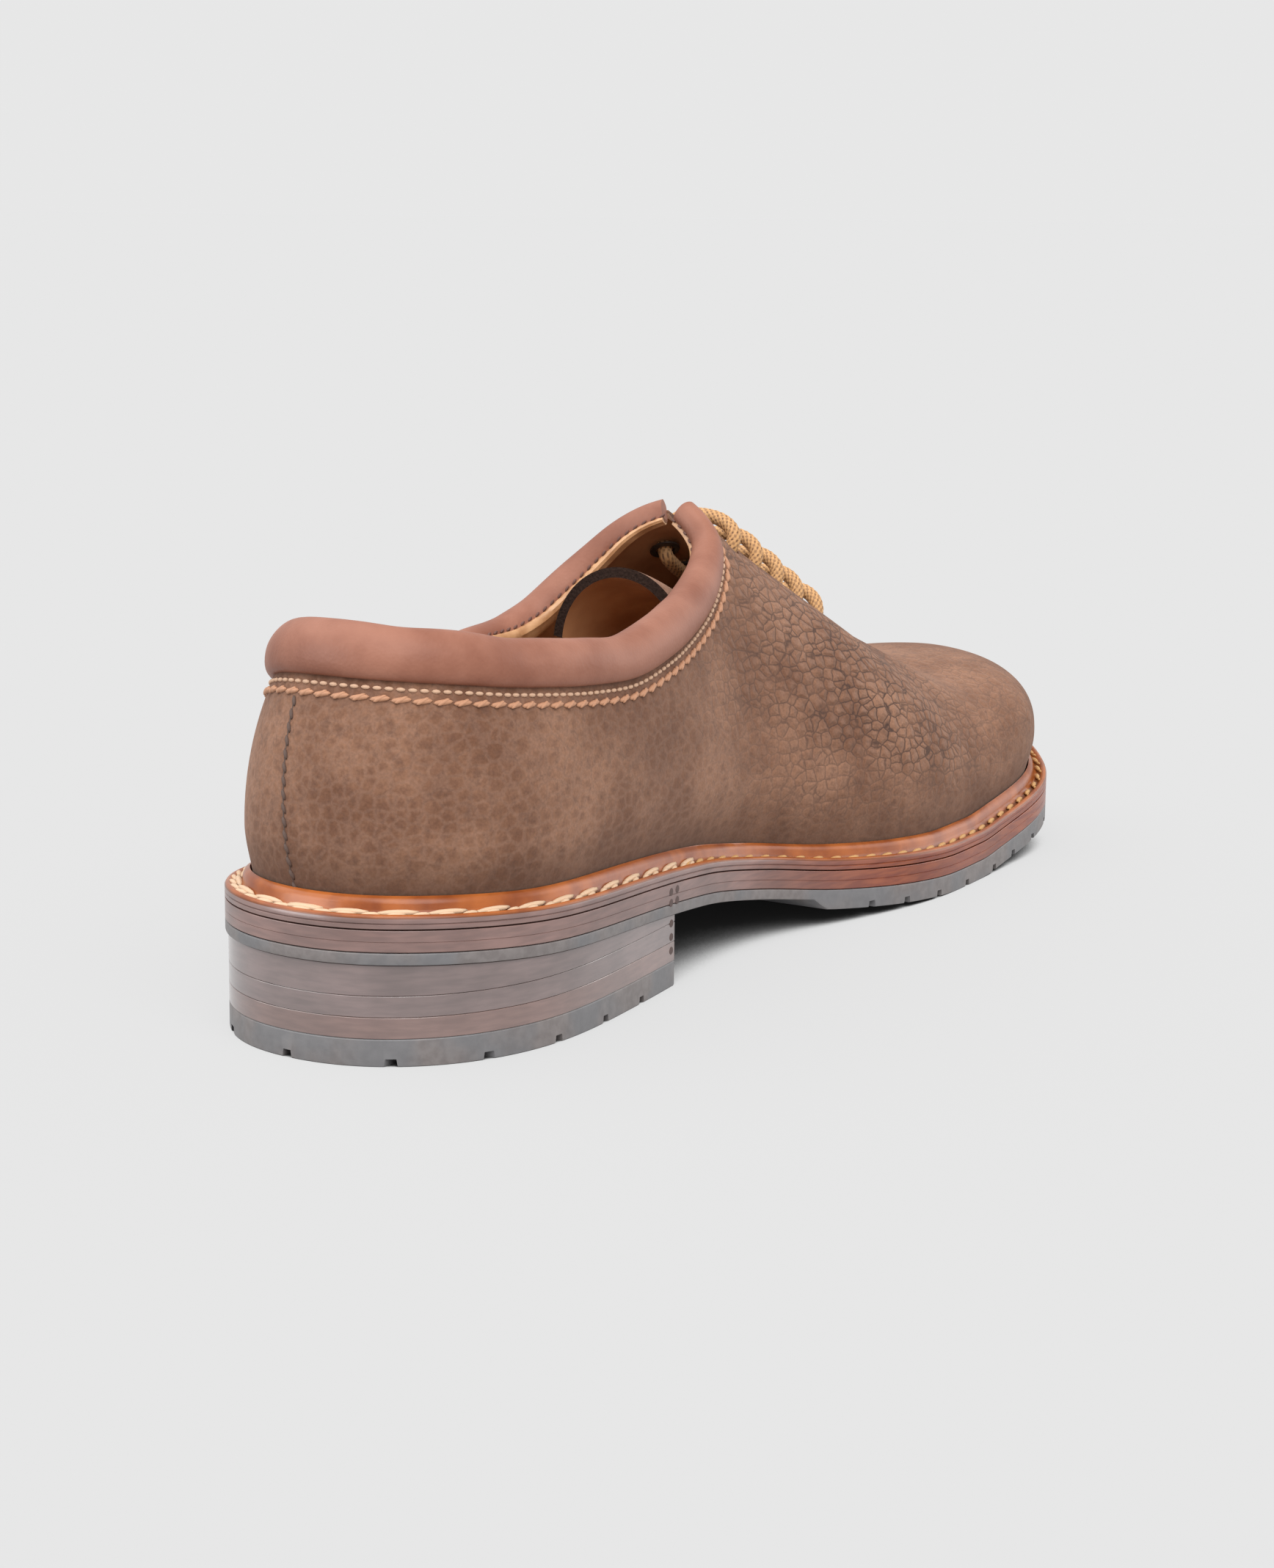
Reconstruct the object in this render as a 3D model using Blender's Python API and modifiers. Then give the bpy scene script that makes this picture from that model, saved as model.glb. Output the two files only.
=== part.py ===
"""Wholecut oxford shoe, left foot, standing empty on its sole.

Toe towards +X, inner side of the foot towards -Y, up is +Z, metres.
The last is described by columns: upright planes that fan round the heel, run square across the
waist and fan round the toe. Every piece that follows the last takes its place from them.
"""
import math

import bmesh
import bpy
import numpy as np

# Sole, seen from above
SOLE_LENGTH = 0.300
HEEL_WIDTH = 0.076
WAIST_WIDTH = 0.069
BALL_WIDTH = 0.102
TOE_WIDTH = 0.098

# Sole, seen from the side
TREAD = 0.0048
RUNNER = 0.0025
SEAT_RISE = 0.0182
TOE_SPRING = 0.0134
MIDSOLE = 0.0044
HEEL_LENGTH = 0.088
BREAST_HOLLOW = 0.006
TOP_LIFT = 0.0053
EDGE_ROUND = 0.0006
HEEL_TAPER = 0.0006
LIFT = 0.0043
TREAD_START = 0.1500
TREAD_RAMP = 0.0030

# Grooves of the tread, cut across the rubber from edge to edge
GROOVE_WIDTH = 0.0022
GROOVE_DEPTH = 0.0016
BACK_GROOVE_LENGTH = 0.0040

# Welt
WELT_WIDTH = 0.0062
WELT = 0.0030
WELT_GROOVE = 0.0004
WELT_ROUND = 0.0007
WELT_RIB = 0.0028
RIB_WIDTH = 0.0024

# Upper
WALL = 0.0022
INSTEP_TOP = 0.1000
TOE_TOP = 0.0500
BACK_TOP = 0.0750
SIDE_TOP = 0.0683
OUTER_DROP = 0.0099
BULGE = 0.0030
HEEL_BULGE = 0.0018
TOE_BULGE = 0.0030
THROAT_TOP = 0.1474
THROAT_LENGTH = 0.0646
THROAT_GAP = 0.0064

# Padded collar roll
ROLL_HEIGHT = 0.0115
ROLL_WIDTH = 0.0085
ROLL_CLEAR = 0.0006

# Tongue, insole, laces and eyelets
TONGUE_WALL = 0.0024
TONGUE_WIDTH = 0.050
TONGUE_DEPTH = 0.0093
TONGUE_ARCH_WIDTH = 0.0360
TONGUE_ARCH_DROP = 0.0190
TONGUE_SHIFT = 0.0010
TONGUE_TOP = 0.1225
TONGUE_END = 0.2260
INSOLE = 0.0035
EYELET_ROWS = 5
EYELET_PITCH = 0.0112
EYELET_FIRST = 0.0088
EYELET_INSET = 0.0075
HOLE_RADIUS = 0.0023
EYELET_FLANGE = 0.0036
EYELET_THICK = 0.0006
EYELET_SEAT = 0.0008
LACE_RADIUS = 0.0017
LACE_ARCH = 0.0042

# Clearance between pieces that meet
GAP = 0.0003

# How finely the columns and rows are laid
FAN_STEPS = 10
MID_STEPS = 18
LOW_ROWS = 3
HIGH_ROWS = 8
LACE_SIDES = 7

# Sole edge: station as a share of SOLE_LENGTH, the width it belongs to, share of that width
INNER_EDGE = (
    (0.010, HEEL_WIDTH, 0.188),
    (0.046, HEEL_WIDTH, 0.365),
    (0.115, HEEL_WIDTH, 0.482),
    (0.210, HEEL_WIDTH, 0.486),
    (0.320, WAIST_WIDTH, 0.486),
    (0.430, WAIST_WIDTH, 0.455),
    (0.530, BALL_WIDTH, 0.384),
    (0.630, BALL_WIDTH, 0.457),
    (0.715, BALL_WIDTH, 0.465),
    (0.800, BALL_WIDTH, 0.461),
    (0.880, TOE_WIDTH, 0.457),
    (0.950, TOE_WIDTH, 0.327),
    (0.988, TOE_WIDTH, 0.164),
    (1.000, BALL_WIDTH, 0.030),
)
OUTER_EDGE = (
    (0.988, TOE_WIDTH, 0.110),
    (0.945, TOE_WIDTH, 0.280),
    (0.870, TOE_WIDTH, 0.405),
    (0.780, BALL_WIDTH, 0.473),
    (0.690, BALL_WIDTH, 0.530),
    (0.610, BALL_WIDTH, 0.535),
    (0.520, BALL_WIDTH, 0.499),
    (0.420, WAIST_WIDTH, 0.645),
    (0.320, WAIST_WIDTH, 0.580),
    (0.210, HEEL_WIDTH, 0.500),
    (0.115, HEEL_WIDTH, 0.485),
    (0.046, HEEL_WIDTH, 0.375),
    (0.010, HEEL_WIDTH, 0.200),
)

# Stations of the grooves under the forefoot and under the heel as shares of SOLE_LENGTH, and places
# of the short notches at the back of the heel as shares of HEEL_WIDTH outwards
GROOVES = (0.560, 0.602, 0.648, 0.700, 0.757, 0.797, 0.840, 0.880, 0.922, 0.962)
HEEL_GROOVES = (0.069, 0.127, 0.185, 0.240)
BACK_GROOVES = (-0.24, 0.04, 0.30)

# Underside of the midsole: station share, share of SEAT_RISE, share of TOE_SPRING
SOLE_LINE = (
    (0.00, 1.00, 0.00),
    (0.13, 0.90, 0.00),
    (0.26, 0.79, 0.00),
    (0.35, 0.65, 0.00),
    (0.44, 0.42, 0.00),
    (0.53, 0.18, 0.00),
    (0.62, 0.045, 0.00),
    (0.68, 0.00, 0.00),
    (0.73, 0.00, 0.00),
    (0.78, 0.00, 0.11),
    (0.84, 0.00, 0.30),
    (0.92, 0.00, 0.62),
    (1.00, 0.00, 1.00),
)

# Last: station share, crown height as a share of the way from TOE_TOP to INSTEP_TOP, crown shift
# to the outer side as a share of BALL_WIDTH, bulge of the inner and outer wall as shares of BULGE,
# height of the bulge as a share of the section, fullness of the side and of the crown
LAST = (
    (0.115, 1.02, 0.000, 0.8, 0.8, 0.20, 1.30, 2.00),
    (0.210, 1.15, 0.000, 1.0, 1.0, 0.22, 1.45, 2.00),
    (0.310, 1.22, 0.000, 1.6, 1.0, 0.22, 1.40, 1.90),
    (0.400, 1.16, 0.000, 1.9, 0.8, 0.22, 1.45, 1.55),
    (0.467, 1.00, 0.000, 1.6, 0.6, 0.24, 1.60, 1.30),
    (0.553, 0.72, 0.000, 1.0, 0.6, 0.27, 1.75, 1.45),
    (0.630, 0.46, 0.000, 0.8, 0.8, 0.31, 1.85, 1.65),
    (0.715, 0.20, -0.010, 0.8, 0.8, 0.33, 1.95, 1.85),
    (0.790, 0.03, -0.020, 0.9, 0.9, 0.36, 2.10, 2.10),
    (0.870, 0.00, -0.030, 0.9, 0.9, 0.40, 2.50, 2.50),
)

# Top line of the upper: station share, share of the drop from BACK_TOP, share of the climb to the
# throat on the inner side and on the outer side
TOP_LINE = (
    (0.00, 0.00, 0.00, 0.00),
    (0.06, 0.20, 0.00, 0.00),
    (0.14, 0.62, 0.00, 0.00),
    (0.20, 0.88, 0.00, 0.00),
    (0.25, 1.00, 0.00, 0.00),
    (0.32, 1.00, 0.09, 0.02),
    (0.36, 1.00, 0.17, 0.09),
    (0.40, 1.00, 0.28, 0.13),
    (0.435, 1.00, 0.42, 0.26),
    (0.462, 1.00, 0.58, 0.52),
    (0.482, 1.00, 0.76, 0.80),
    (THROAT_TOP / SOLE_LENGTH, 1.00, 1.00, 1.00),
)


def smooth(x, rows, column):
    """Value at x on a smooth line through one column of a table, without overshoot."""
    xs = np.array([row[0] for row in rows])
    ys = np.array([row[column] for row in rows])
    step = np.diff(xs)
    rate = np.diff(ys) / step
    slope = np.zeros(len(ys))
    for i in range(1, len(ys) - 1):
        if rate[i - 1] * rate[i] > 0:
            before = 2 * step[i] + step[i - 1]
            after = step[i] + 2 * step[i - 1]
            slope[i] = (before + after) / (before / rate[i - 1] + after / rate[i])
    x = np.clip(x, xs[0], xs[-1])
    k = int(np.clip(np.searchsorted(xs, x) - 1, 0, len(step) - 1))
    t = (x - xs[k]) / step[k]
    return float(
        ys[k] * (1 + 2 * t) * (1 - t) ** 2
        + slope[k] * step[k] * t * (1 - t) ** 2
        + ys[k + 1] * t * t * (3 - 2 * t)
        + slope[k + 1] * step[k] * t * t * (t - 1)
    )


def closed_spline(points, count):
    """Dense closed line through the points, as a periodic cubic spline by chord length."""
    points = np.array(points)
    n = len(points)
    chord = np.sqrt(np.linalg.norm(np.roll(points, -1, 0) - points, axis=1))
    matrix = np.zeros((n, n))
    right = np.zeros((n, 2))
    for i in range(n):
        before, after = chord[i - 1], chord[i]
        matrix[i, i - 1] += before
        matrix[i, i] += 2 * (before + after)
        matrix[i, (i + 1) % n] += after
        right[i] = 6 * ((points[(i + 1) % n] - points[i]) / after - (points[i] - points[i - 1]) / before)
    bend = np.linalg.solve(matrix, right)
    line = []
    for i in range(n):
        j, h = (i + 1) % n, chord[i]
        for t in np.linspace(0, h, count // n, endpoint=False):
            left = h - t
            line.append(
                (bend[i] * left**3 + bend[j] * t**3) / (6 * h)
                + (points[i] / h - bend[i] * h / 6) * left
                + (points[j] / h - bend[j] * h / 6) * t
            )
    return np.array(line)


def sole_edge():
    """The sole's edge from above, from the back of the heel along the inner side."""
    points = [(0.0, 0.0)]
    points += [(share * SOLE_LENGTH, -width * part) for share, width, part in INNER_EDGE]
    points += [(share * SOLE_LENGTH, width * part) for share, width, part in OUTER_EDGE]
    return closed_spline(points, 1120)


EDGE = sole_edge()
# The origin is the middle of the sole's box, so the heel's back and the heel axis lie off it
ORIGIN = np.array([(EDGE[:, 0].min() + EDGE[:, 0].max()) / 2, (EDGE[:, 1].min() + EDGE[:, 1].max()) / 2])


def inset_edge(distance):
    """The sole's edge moved inwards by a distance."""
    along = np.roll(EDGE, -1, 0) - np.roll(EDGE, 1, 0)
    along /= np.linalg.norm(along, axis=1)[:, None]
    return EDGE + distance * np.stack([-along[:, 1], along[:, 0]], axis=1)


def reach(line, centre, way):
    """How far the closed line lies from the centre along a direction."""
    start = line - centre
    end = np.roll(start, -1, 0)
    side_a = way[0] * start[:, 1] - way[1] * start[:, 0]
    side_b = way[0] * end[:, 1] - way[1] * end[:, 0]
    crossing = np.nonzero((side_a > 0) != (side_b > 0))[0]
    share = side_a[crossing] / (side_a[crossing] - side_b[crossing])
    hits = start[crossing] + share[:, None] * (end[crossing] - start[crossing])
    return float((hits @ way).max())


def sole_line(x):
    """Height of the midsole's underside."""
    share = x / SOLE_LENGTH
    return TREAD + SEAT_RISE * smooth(share, SOLE_LINE, 1) + TOE_SPRING * smooth(share, SOLE_LINE, 2)


def seat_line(x):
    """Height of the midsole's upper side, on which the upper and the welt sit."""
    return sole_line(x) + MIDSOLE


FEATHER = inset_edge(WELT_WIDTH)
HEEL_CENTRE = LAST[0][0] * SOLE_LENGTH
TOE_CENTRE = LAST[-1][0] * SOLE_LENGTH
THROAT_END = THROAT_TOP + THROAT_LENGTH


class Column:
    """One upright plane of the last: where it stands, which way it faces and the wall's shape in it."""

    def __init__(self, station, angle):
        self.station = station
        self.way = np.array([math.cos(angle), math.sin(angle)])
        self.outer = (1 + self.way[1]) / 2
        self.end = abs(self.way[0])
        share = station / SOLE_LENGTH
        self.crown = TOE_TOP + (INSTEP_TOP - TOE_TOP) * smooth(share, LAST, 1)
        self.spine = np.array([station, smooth(share, LAST, 2) * BALL_WIDTH])
        inner_bulge, outer_bulge = smooth(share, LAST, 3), smooth(share, LAST, 4)
        side_bulge = inner_bulge + (outer_bulge - inner_bulge) * self.outer
        end_bulge = HEEL_BULGE if self.way[0] < 0 else TOE_BULGE
        self.bulge = BULGE * side_bulge * (1 - self.end) + end_bulge * self.end
        self.side_power = 2 / smooth(share, LAST, 6)
        self.crown_power = 2 / smooth(share, LAST, 7)
        self.foot = reach(FEATHER, self.spine, self.way)
        self.edge = reach(EDGE, self.spine, self.way)
        self.foot_height = seat_line(self.spine[0] + self.foot * self.way[0]) + GAP
        self.bulge_rise = (self.crown - self.foot_height) * smooth(share, LAST, 5)

    def wide(self):
        return self.foot + self.bulge

    def low(self, part):
        """Radius and height on the wall below its widest line, part running from 0 to 1."""
        return self.foot + self.bulge * part * part * (3 - 2 * part), self.foot_height + self.bulge_rise * part

    def high(self, turn):
        """Radius and height above the widest line, turn running from 0 to a quarter turn."""
        rise = self.crown - self.foot_height - self.bulge_rise
        radius = self.wide() * max(math.cos(turn), 0.0) ** self.side_power
        height = self.foot_height + self.bulge_rise + rise * math.sin(turn) ** self.crown_power
        return radius, height

    def turn_at_radius(self, radius):
        return math.acos(min(1.0, (radius / self.wide()) ** (1 / self.side_power)))

    def turn_at_height(self, height):
        rise = self.crown - self.foot_height - self.bulge_rise
        share = (height - self.foot_height - self.bulge_rise) / rise
        return math.asin(min(1.0, max(share, 0.05) ** (1 / self.crown_power)))

    def place(self, radius, height):
        x, y = self.spine + radius * self.way - ORIGIN
        return np.array([x, y, height])

    def radius_near(self, height):
        """Radius of the wall's outer side at a height just above the welt."""
        return self.low(min(1.0, max(0.0, (height - self.foot_height) / self.bulge_rise)))[0]


def throat_half_gap(station):
    """Half the width of the throat's slit, which closes to a point at its lower end."""
    share = (THROAT_END - station) / THROAT_LENGTH
    return THROAT_GAP / 2 * min(1.0, max(0.0, share)) ** 0.6


def top_turn(column):
    """Where the wall ends at the top: at the collar, at the throat's slit, or at the crown."""
    if column.station >= THROAT_TOP:
        return column.turn_at_radius(throat_half_gap(column.station))
    way = -1.0 if column.way[1] < 0 else 1.0
    corner = Column(THROAT_TOP, way * math.pi / 2)
    throat_height = corner.high(corner.turn_at_radius(throat_half_gap(THROAT_TOP)))[1]
    share = (column.spine[0] + column.foot * column.way[0]) / SOLE_LENGTH
    side = SIDE_TOP - OUTER_DROP * max(0.0, column.way[1])
    drop = (BACK_TOP - side) * smooth(share, TOP_LINE, 1)
    climb = (throat_height - side) * smooth(share, TOP_LINE, 2 if column.way[1] <= 0 else 3)
    return column.turn_at_height(BACK_TOP - drop + climb)


def make_columns(fan_steps, mid_steps):
    """All columns in a closed ring, from the back of the heel along the inner side."""
    quarter = math.pi / 2
    fan = [quarter * k / fan_steps for k in range(fan_steps)]
    third = mid_steps // 3
    # Closer together towards the throat, where the top line turns upwards
    before = THROAT_TOP - (THROAT_TOP - HEEL_CENTRE) * (1 - np.arange(third + 3) / (third + 3)) ** 1.7
    along = np.linspace(THROAT_TOP, THROAT_END, third + 1)[:-1]
    after = np.linspace(THROAT_END, TOE_CENTRE, third + 1)
    stations = [*before, *along, *after]
    ring = [Column(HEEL_CENTRE, -math.pi + a) for a in fan]
    ring += [Column(x, -quarter) for x in stations]
    ring += [Column(TOE_CENTRE, -quarter + a) for a in fan[1:]]
    ring += [Column(TOE_CENTRE, a) for a in fan]
    ring += [Column(x, quarter) for x in reversed(stations)]
    ring += [Column(HEEL_CENTRE, quarter + a) for a in fan[1:]]
    return ring


COLUMNS = make_columns(FAN_STEPS, MID_STEPS)
N = len(COLUMNS)

# Colours, read off the photograph
LOOKS = {
    "nubuck": ((0.235, 0.160, 0.125), 0.85),
    "collar_leather": ((0.330, 0.205, 0.160), 0.60),
    "lining": ((0.420, 0.235, 0.115), 0.60),
    "welt_leather": ((0.330, 0.120, 0.045), 0.40),
    "edge_leather": ((0.200, 0.130, 0.110), 0.35),
    "rubber": ((0.150, 0.145, 0.145), 0.60),
    "cord": ((0.520, 0.330, 0.150), 0.80),
    "metal": ((0.060, 0.045, 0.035), 0.45),
}


def clear():
    for thing in list(bpy.data.objects):
        bpy.data.objects.remove(thing, do_unlink=True)


def new_collection(name):
    group = bpy.data.collections.new(name)
    bpy.context.scene.collection.children.link(group)
    return group


def material(name, look):
    colour, roughness = LOOKS[look]
    paint = bpy.data.materials.new(name)
    paint.use_nodes = True
    shader = paint.node_tree.nodes["Principled BSDF"]
    shader.inputs["Base Color"].default_value = (*colour, 1.0)
    shader.inputs["Roughness"].default_value = roughness
    shader.inputs["Metallic"].default_value = 0.6 if look == "metal" else 0.0
    paint.diffuse_color = (*colour, 1.0)
    return paint


def make(name, points, faces, look, group):
    """One object from points and faces, welded and turned outwards."""
    mesh = bpy.data.meshes.new(name)
    mesh.from_pydata([tuple(map(float, p)) for p in points], [], faces)
    build = bmesh.new()
    build.from_mesh(mesh)
    bmesh.ops.remove_doubles(build, verts=build.verts, dist=1e-5)
    bmesh.ops.recalc_face_normals(build, faces=build.faces)
    if build.calc_volume(signed=True) < 0:
        bmesh.ops.reverse_faces(build, faces=build.faces)
    build.to_mesh(mesh)
    build.free()
    thing = bpy.data.objects.new(name, mesh)
    group.objects.link(thing)
    thing.data.materials.append(material(name, look))
    return thing


def ring_faces(rings, count, closed=True):
    """Quads between successive rings of points laid one after the other."""
    faces = []
    for r in range(rings - 1):
        for i in range(count if closed else count - 1):
            j = (i + 1) % count
            faces.append((r * count + i, r * count + j, (r + 1) * count + j, (r + 1) * count + i))
    return faces


def cap_strip(start, count):
    """Close a ring of columns with strips across the shoe from the inner to the outer side."""
    faces = []
    half = count // 2
    for i in range(half):
        a, b = i, i + 1
        c, d = (count - i - 1) % count, (count - i) % count
        corners = []
        for k in (a, b, c, d):
            if not corners or (start + k) not in corners:
                corners.append(start + k)
        if len(corners) > 2:
            faces.append(tuple(corners))
    return faces


def edge_ring(offset, height):
    """The sole's edge at the columns, moved inwards by an offset, at a height given by x."""
    ring = []
    for column in COLUMNS:
        radius = column.edge - offset
        x = column.spine[0] + column.edge * column.way[0]
        ring.append(column.place(radius, height(x)))
    return ring


def plate(name, profile, look, group):
    """A solid sole layer: profile is a list of inset and height function, from top to bottom."""
    points = []
    for offset, height in profile:
        points += edge_ring(offset, height)
    last = (len(profile) - 1) * N
    faces = ring_faces(len(profile), N) + cap_strip(0, N) + cap_strip(last, N)
    return make(name, points, faces, look, group)


def cut(thing, points, faces, group):
    """Take a set of closed solids away from an object."""
    mesh = bpy.data.meshes.new("cutter_" + thing.name)
    mesh.from_pydata([tuple(map(float, p)) for p in points], [], faces)
    build = bmesh.new()
    build.from_mesh(mesh)
    bmesh.ops.recalc_face_normals(build, faces=build.faces)
    build.to_mesh(mesh)
    build.free()
    tool = bpy.data.objects.new("cutter_" + thing.name, mesh)
    group.objects.link(tool)
    tool.hide_render = True
    step = thing.modifiers.new("cut", "BOOLEAN")
    step.operation = "DIFFERENCE"
    step.solver = "EXACT"
    step.object = tool


def box(centre, size, points, faces):
    start = len(points)
    for corner in range(8):
        sign = [1 if corner >> axis & 1 else -1 for axis in range(3)]
        points.append([centre[a] + sign[a] * size[a] / 2 for a in range(3)])
    quads = ((0, 2, 3, 1), (4, 5, 7, 6), (0, 1, 5, 4), (2, 6, 7, 3), (0, 4, 6, 2), (1, 3, 7, 5))
    faces += [tuple(start + k for k in quad) for quad in quads]


def sole_layers(group, cutters):
    plate("midsole", (
        (EDGE_ROUND, seat_line),
        (0.0, lambda x: seat_line(x) - EDGE_ROUND),
        (0.0, sole_line),
    ), "edge_leather", group)

    def under(x):
        share = min(1.0, max(0.0, (x - TREAD_START) / TREAD_RAMP))
        return sole_line(x) - RUNNER - (TREAD - RUNNER) * share
    outsole = plate("outsole", (
        (0.0, lambda x: sole_line(x) - GAP),
        (0.0, lambda x: under(x) + EDGE_ROUND),
        (EDGE_ROUND, under),
    ), "rubber", group)
    points, faces = [], []
    for share in GROOVES:
        x = share * SOLE_LENGTH
        box((x - ORIGIN[0], 0.0, under(x)), (GROOVE_WIDTH, 2 * BALL_WIDTH, 2 * GROOVE_DEPTH), points, faces)
    cut(outsole, points, faces, cutters)


def heel_ring(taper):
    """Outline of the heel with its hollow breast."""
    edge = inset_edge(taper)
    keep = [p for p in edge[::14] if p[0] < HEEL_LENGTH - BREAST_HOLLOW / 2]
    inner = [p for p in keep if p[1] < 0]
    outer = [p for p in keep if p[1] >= 0]
    outer.sort(key=lambda p: -p[0])
    inner.sort(key=lambda p: p[0])
    corners = []
    for side in (-1, 1):
        near = edge[(edge[:, 1] * side > 0)]
        corners.append(near[np.argmin(abs(near[:, 0] - HEEL_LENGTH))])
    breast = []
    for k in range(9):
        t = k / 8
        p = corners[0] * (1 - t) + corners[1] * t
        breast.append(p - np.array([BREAST_HOLLOW * 4 * t * (1 - t), 0]))
    return inner + breast + outer


def heel_block(name, low, high, look, group):
    """A slice of the heel between a level underside and a top that may follow the sole."""
    points, taper_low = [], HEEL_TAPER
    ring = heel_ring(taper_low)
    count = len(ring)
    levels = ((EDGE_ROUND, low), (0.0, lambda x: low(x) + EDGE_ROUND), (0.0, high))
    for offset, level in levels:
        shape = heel_ring(taper_low + offset)
        points += [(p[0] - ORIGIN[0], p[1] - ORIGIN[1], level(p[0])) for p in shape]
    faces = ring_faces(3, count) + [tuple(range(count)), tuple(range(2 * count, 3 * count))]
    thing = make(name, points, faces, look, group)
    build = bmesh.new()
    build.from_mesh(thing.data)
    bmesh.ops.triangulate(build, faces=[f for f in build.faces if len(f.verts) > 4])
    build.to_mesh(thing.data)
    build.free()
    return thing


def heel(group, cutters):
    top_piece = heel_block("heel_top_piece", lambda x: 0.0, lambda x: TOP_LIFT, "rubber", group)
    points, faces = [], []
    for share in HEEL_GROOVES:
        x = share * SOLE_LENGTH - ORIGIN[0]
        box((x, 0.0, 0.0), (GROOVE_WIDTH, 2 * BALL_WIDTH, 2 * GROOVE_DEPTH), points, faces)
    edge = inset_edge(HEEL_TAPER)
    for share in BACK_GROOVES:
        y = share * HEEL_WIDTH
        heel_back = edge[edge[:, 0] < HEEL_CENTRE]
        x = heel_back[np.argmin(abs(heel_back[:, 1] - y)), 0] - ORIGIN[0]
        box((x, y - ORIGIN[1], 0.0), (2 * BACK_GROOVE_LENGTH, GROOVE_WIDTH, 2 * GROOVE_DEPTH), points, faces)
    cut(top_piece, points, faces, cutters)
    base = TOP_LIFT
    for name in ("heel_lift_lower", "heel_lift_middle"):
        low, high = base + GAP, base + LIFT
        heel_block(name, lambda x, z=low: z, lambda x, z=high: z, "edge_leather", group)
        base += LIFT
    low = base + GAP
    heel_block("heel_lift_upper", lambda x: low, lambda x: sole_line(x) - RUNNER - GAP, "edge_leather", group)


def welt(group):
    """Welt with its lip, stitch groove and the raised rib that hugs the upper."""
    points = []
    inner = WELT_WIDTH - RIB_WIDTH
    profile = (
        (0.0, GAP), (0.0, WELT - WELT_ROUND), (WELT_ROUND, WELT),
        (inner * 0.50, WELT - WELT_GROOVE), (inner * 0.85, WELT), (inner, WELT + WELT_RIB * 0.8),
    )
    for offset, rise in profile:
        points += edge_ring(offset, lambda x: seat_line(x) + rise)
    for rise in (WELT + WELT_RIB, GAP):
        for column in COLUMNS:
            x = column.spine[0] + column.edge * column.way[0]
            height = seat_line(x) + rise
            points.append(column.place(column.radius_near(height) + GAP * 1.4, height))
    rings = len(profile) + 2
    faces = ring_faces(rings, N)
    last = (rings - 1) * N
    faces += [(last + i, last + (i + 1) % N, (i + 1) % N, i) for i in range(N)]
    make("welt", points, faces, "welt_leather", group)


def wall_rows(column, low_rows, high_rows):
    """The outer side of the wall in one column, from the foot to its top edge."""
    rows = [column.low(k / low_rows) for k in range(low_rows)]
    top = top_turn(column)
    start = column.high(0.0)
    rows.append(start)
    dense = [column.high(top * k / 200) for k in range(201)]
    run = [0.0]
    for a, b in zip(dense, dense[1:]):
        run.append(run[-1] + math.dist(a, b))
    for k in range(1, high_rows + 1):
        aim = run[-1] * k / high_rows
        i = min(199, max(0, int(np.searchsorted(run, aim)) - 1))
        share = (aim - run[i]) / max(run[i + 1] - run[i], 1e-9)
        rows.append(tuple(dense[i][c] + share * (dense[i + 1][c] - dense[i][c]) for c in (0, 1)))
    return rows


def shell_grid(low_rows, high_rows):
    return np.array([[c.place(*row) for row in wall_rows(c, low_rows, high_rows)] for c in COLUMNS])


def surface_normals(grid):
    """Outward normals of the wall at every grid point."""
    around = np.roll(grid, -1, 0) - np.roll(grid, 1, 0)
    climb = np.gradient(grid, axis=1)
    flat = np.cross(around, climb)
    length = np.linalg.norm(flat, axis=2)
    centre = np.array([0.0, 0.0, TOE_TOP * 0.7])
    for i in range(grid.shape[0]):
        for j in range(grid.shape[1]):
            if length[i, j] < 1e-10:
                flat[i, j], length[i, j] = (0.0, 0.0, 1.0), 1.0
    flat /= np.linalg.norm(flat, axis=2)[:, :, None]
    outward = np.einsum("ijk,ijk->ij", flat, grid - centre)
    flat[outward < 0] *= -1
    return flat


def upper(group, cutters):
    """The hollow shell: the wall's outer side thickened inwards, with lace holes through it."""
    grid = shell_grid(LOW_ROWS, HIGH_ROWS)
    rows = grid.shape[1]
    points = grid.reshape(-1, 3)
    faces = []
    for i in range(N):
        j = (i + 1) % N
        for r in range(rows - 1):
            faces.append((i * rows + r, j * rows + r, j * rows + r + 1, i * rows + r + 1))
    shell = make("upper", points, faces, "nubuck", group)
    build = bmesh.new()
    build.from_mesh(shell.data)
    lowest = min(build.faces, key=lambda f: f.calc_center_median().y)
    if lowest.normal.y > 0:
        bmesh.ops.reverse_faces(build, faces=build.faces)
    build.to_mesh(shell.data)
    build.free()
    wall = shell.modifiers.new("wall", "SOLIDIFY")
    wall.thickness = WALL
    wall.offset = -1.0
    wall.use_even_offset = True
    wall.use_quality_normals = True
    points, faces = [], []
    for side in (-1, 1):
        for row in range(EYELET_ROWS):
            centre, normal = eyelet_place(row, side)
            rod(centre - normal * WALL * 3, centre + normal * WALL * 2, HOLE_RADIUS, 10, points, faces)
    cut(shell, points, faces, cutters)


def column_at(station, side):
    return Column(station, side * math.pi / 2)


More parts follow.
